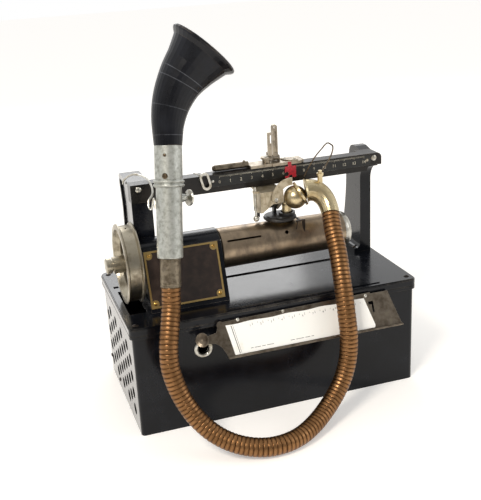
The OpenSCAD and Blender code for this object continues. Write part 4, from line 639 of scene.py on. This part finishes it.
scaleMarks = {
    "front": (0, -5.32, 244.5),
    "plateFrom": -48.0,
    "firstAt": 12.0,
    "spacing": 12.7,
    "numbers": 14,
    "ticksPerNumber": 10,
    "tickTop": 12.1,
    "tickShort": 1.7,
    "tickLong": 2.8,
    "tickWidth": 0.32,
    "numberFoot": 3.4,
    "numberHeight": 3.6,
    "depth": 0.06,
}


def paintScale(look):
    bm = bmesh.new()
    step = look["spacing"] / look["ticksPerNumber"]
    for k in range(look["numbers"] * look["ticksPerNumber"] + 1):
        x = look["plateFrom"] + look["firstAt"] + k * step
        atNumber = k % look["ticksPerNumber"] == 0
        tall = look["tickLong"] if atNumber else look["tickShort"]
        markBox(bm, x, look["tickTop"] - tall / 2, look["tickWidth"], tall, look["depth"])
        if atNumber:
            markNumber(bm, str(k // look["ticksPerNumber"]), x, look["numberFoot"], look["numberHeight"],
                       look["depth"])
    marksPiece("scaleMarks", bm, Matrix.Translation(look["front"]), "ivoryFill", "case")


paintScale(scaleMarks)

slipPrint = {
    "trayFoot": (0, -107, 85),
    "trayLean": 23.2,
    "cardFront": -1.49,
    "left": -60.0,
    "right": 106.0,
    "footV": 1.3,
    "topV": 34.0,
    "marginAt": 5.5,
    "marginSlant": -0.165,
    "depth": 0.05,
}


def printSlip(look):
    bm = bmesh.new()
    # two upright margin rules near the left edge, one heavy and one fine, slanted as the card is cut
    for offset, width in ((0.0, 0.7), (1.9, 0.3)):
        tall = look["topV"] - look["footV"] - 2
        before = len(bm.verts)
        markBox(bm, 0, 0, width, tall, look["depth"])
        bm.verts.ensure_lookup_table()
        middle = (look["topV"] + look["footV"]) / 2
        foot = look["left"] + look["marginAt"] + offset
        for vert in bm.verts[before:]:
            vert.co.x += foot + look["marginSlant"] * (vert.co.z + tall / 2)
            vert.co.z += middle
    # length marks along the upper edge, numbered
    for k in range(1, 12):
        x = look["left"] + 12 + k * 12.2
        markBox(bm, x, look["topV"] - 3.2, 0.35, 2.6, look["depth"])
        markBox(bm, x + 6.1, look["topV"] - 2.6, 0.3, 1.4, look["depth"])
        markNumber(bm, str(k), x - 2.6, look["topV"] - 5.6, 2.2, look["depth"])
    # a broken ruled line near the foot stands in for the printed words
    for x, length in ((-42, 3), (-37.5, 7), (-29, 4), (-23.5, 8), (4, 5), (10.5, 9), (21, 6), (28.5, 3)):
        markBox(bm, x + length / 2, look["footV"] + 4.2, length, 0.5, look["depth"])
    place = Matrix.Translation(look["trayFoot"]) @ Matrix.Rotation(-math.radians(look["trayLean"]), 4, "X")
    marksPiece("slipPrint", bm, place @ Matrix.Translation((0, look["cardFront"], 0)), "printersInk", "case")


printSlip(slipPrint)
print("marks made")


# ---- floor, lamps and background
studio = {
    "floorColour": "#f1ede7",
    "floorGlow": 0.33,
    "farGlow": 0.5,
    "glowFrom": 0.3,
    "glowTo": 1.8,
    "keyWatts": 17.0,
    "fillWatts": 5.0,
    "backWatts": 7.0,
    "ambient": 0.56,
    "frontGloss": 0.28,
    "roomFrom": -0.75,
    "roomTo": 0.35,
}


def seenRays(tree):
    # 1 for rays that show the background: straight to the camera, in a gloss or through something clear
    light = addNode(tree, "ShaderNodeLightPath").outputs
    seen = combined(tree, light["Is Camera Ray"], light["Is Glossy Ray"], "MAXIMUM")
    return combined(tree, seen, light["Is Transmission Ray"], "MAXIMUM")


def setStage(look):
    bm = bmesh.new()
    bmesh.ops.create_grid(bm, x_segments=1, y_segments=1, size=6)
    mesh = bpy.data.meshes.new("paleFloor")
    bm.to_mesh(mesh)
    bm.free()
    floor = bpy.data.objects.new("paleFloor", mesh)
    scene.collection.objects.link(floor)
    material, tree, shader = startMaterial("paleFloor", look["floorColour"], 0.0, 0.9, Specular_IOR_Level=0.0)
    glow = addNode(tree, "ShaderNodeEmission", {"Color": (1, 1, 1, 1)})
    # the lamps light the floor near the machine, so the glow is lower there and its shadow shows
    place = addNode(tree, "ShaderNodeTexCoord").outputs["Object"]
    away = addNode(tree, "ShaderNodeVectorMath", {0: place}, operation="LENGTH").outputs["Value"]
    level = carried(tree, away, look["glowFrom"], look["glowTo"], look["floorGlow"], look["farGlow"])
    tree.links.new(combined(tree, seenRays(tree), level), glow.inputs["Strength"])
    both = addNode(tree, "ShaderNodeAddShader", {0: shader.outputs["BSDF"], 1: glow.outputs["Emission"]})
    tree.links.new(both.outputs["Shader"], tree.nodes["Material Output"].inputs["Surface"])
    mesh.materials.append(material)
    world = bpy.data.worlds.new("studioWorld")
    world.use_nodes = True
    tree = world.node_tree
    tree.nodes.clear()
    light = addNode(tree, "ShaderNodeLightPath").outputs
    # polished metal sees a white room behind and above, and a dimmer one in front
    towards = addNode(tree, "ShaderNodeTexCoord").outputs["Generated"]
    depth = addNode(tree, "ShaderNodeSeparateXYZ", {"Vector": towards}).outputs["Y"]
    room = carried(tree, depth, look["roomFrom"], look["roomTo"], look["frontGloss"])
    white = (1, 1, 1, 1)
    soft, plain, around = (addNode(tree, "ShaderNodeBackground", {"Color": white, "Strength": strength})
                           for strength in (look["ambient"], 1.0, room))
    glossy = addNode(tree, "ShaderNodeMixShader", {0: light["Is Glossy Ray"], 1: soft.outputs["Background"],
                                                   2: around.outputs["Background"]})
    direct = combined(tree, light["Is Camera Ray"], light["Is Transmission Ray"], "MAXIMUM")
    mixed = addNode(tree, "ShaderNodeMixShader", {0: direct, 1: glossy.outputs["Shader"],
                                                  2: plain.outputs["Background"]})
    addNode(tree, "ShaderNodeOutputWorld", {"Surface": mixed.outputs["Shader"]})
    scene.world = world


def areaLamp(name, place, target, size, watts, tint="#ffffff"):
    lamp = bpy.data.lights.new(name, "AREA")
    lamp.size = size
    lamp.energy = watts
    lamp.color = colour(tint)[:3]
    holder = bpy.data.objects.new(name, lamp)
    holder.location = place
    holder.rotation_euler = (Vector(target) - Vector(place)).to_track_quat("-Z", "Y").to_euler()
    scene.collection.objects.link(holder)


setStage(studio)
areaLamp("keyLamp", (-0.9, -0.9, 1.35), (0, 0, 0.18), 0.4, studio["keyWatts"], "#fff8ee")
areaLamp("fillLamp", (1.3, -0.9, 0.8), (0, 0, 0.15), 0.9, studio["fillWatts"])
areaLamp("backLamp", (0.2, 1.4, 1.1), (0, 0, 0.2), 0.9, studio["backWatts"])
scene.view_settings.view_transform = "Standard"
print("stage set")
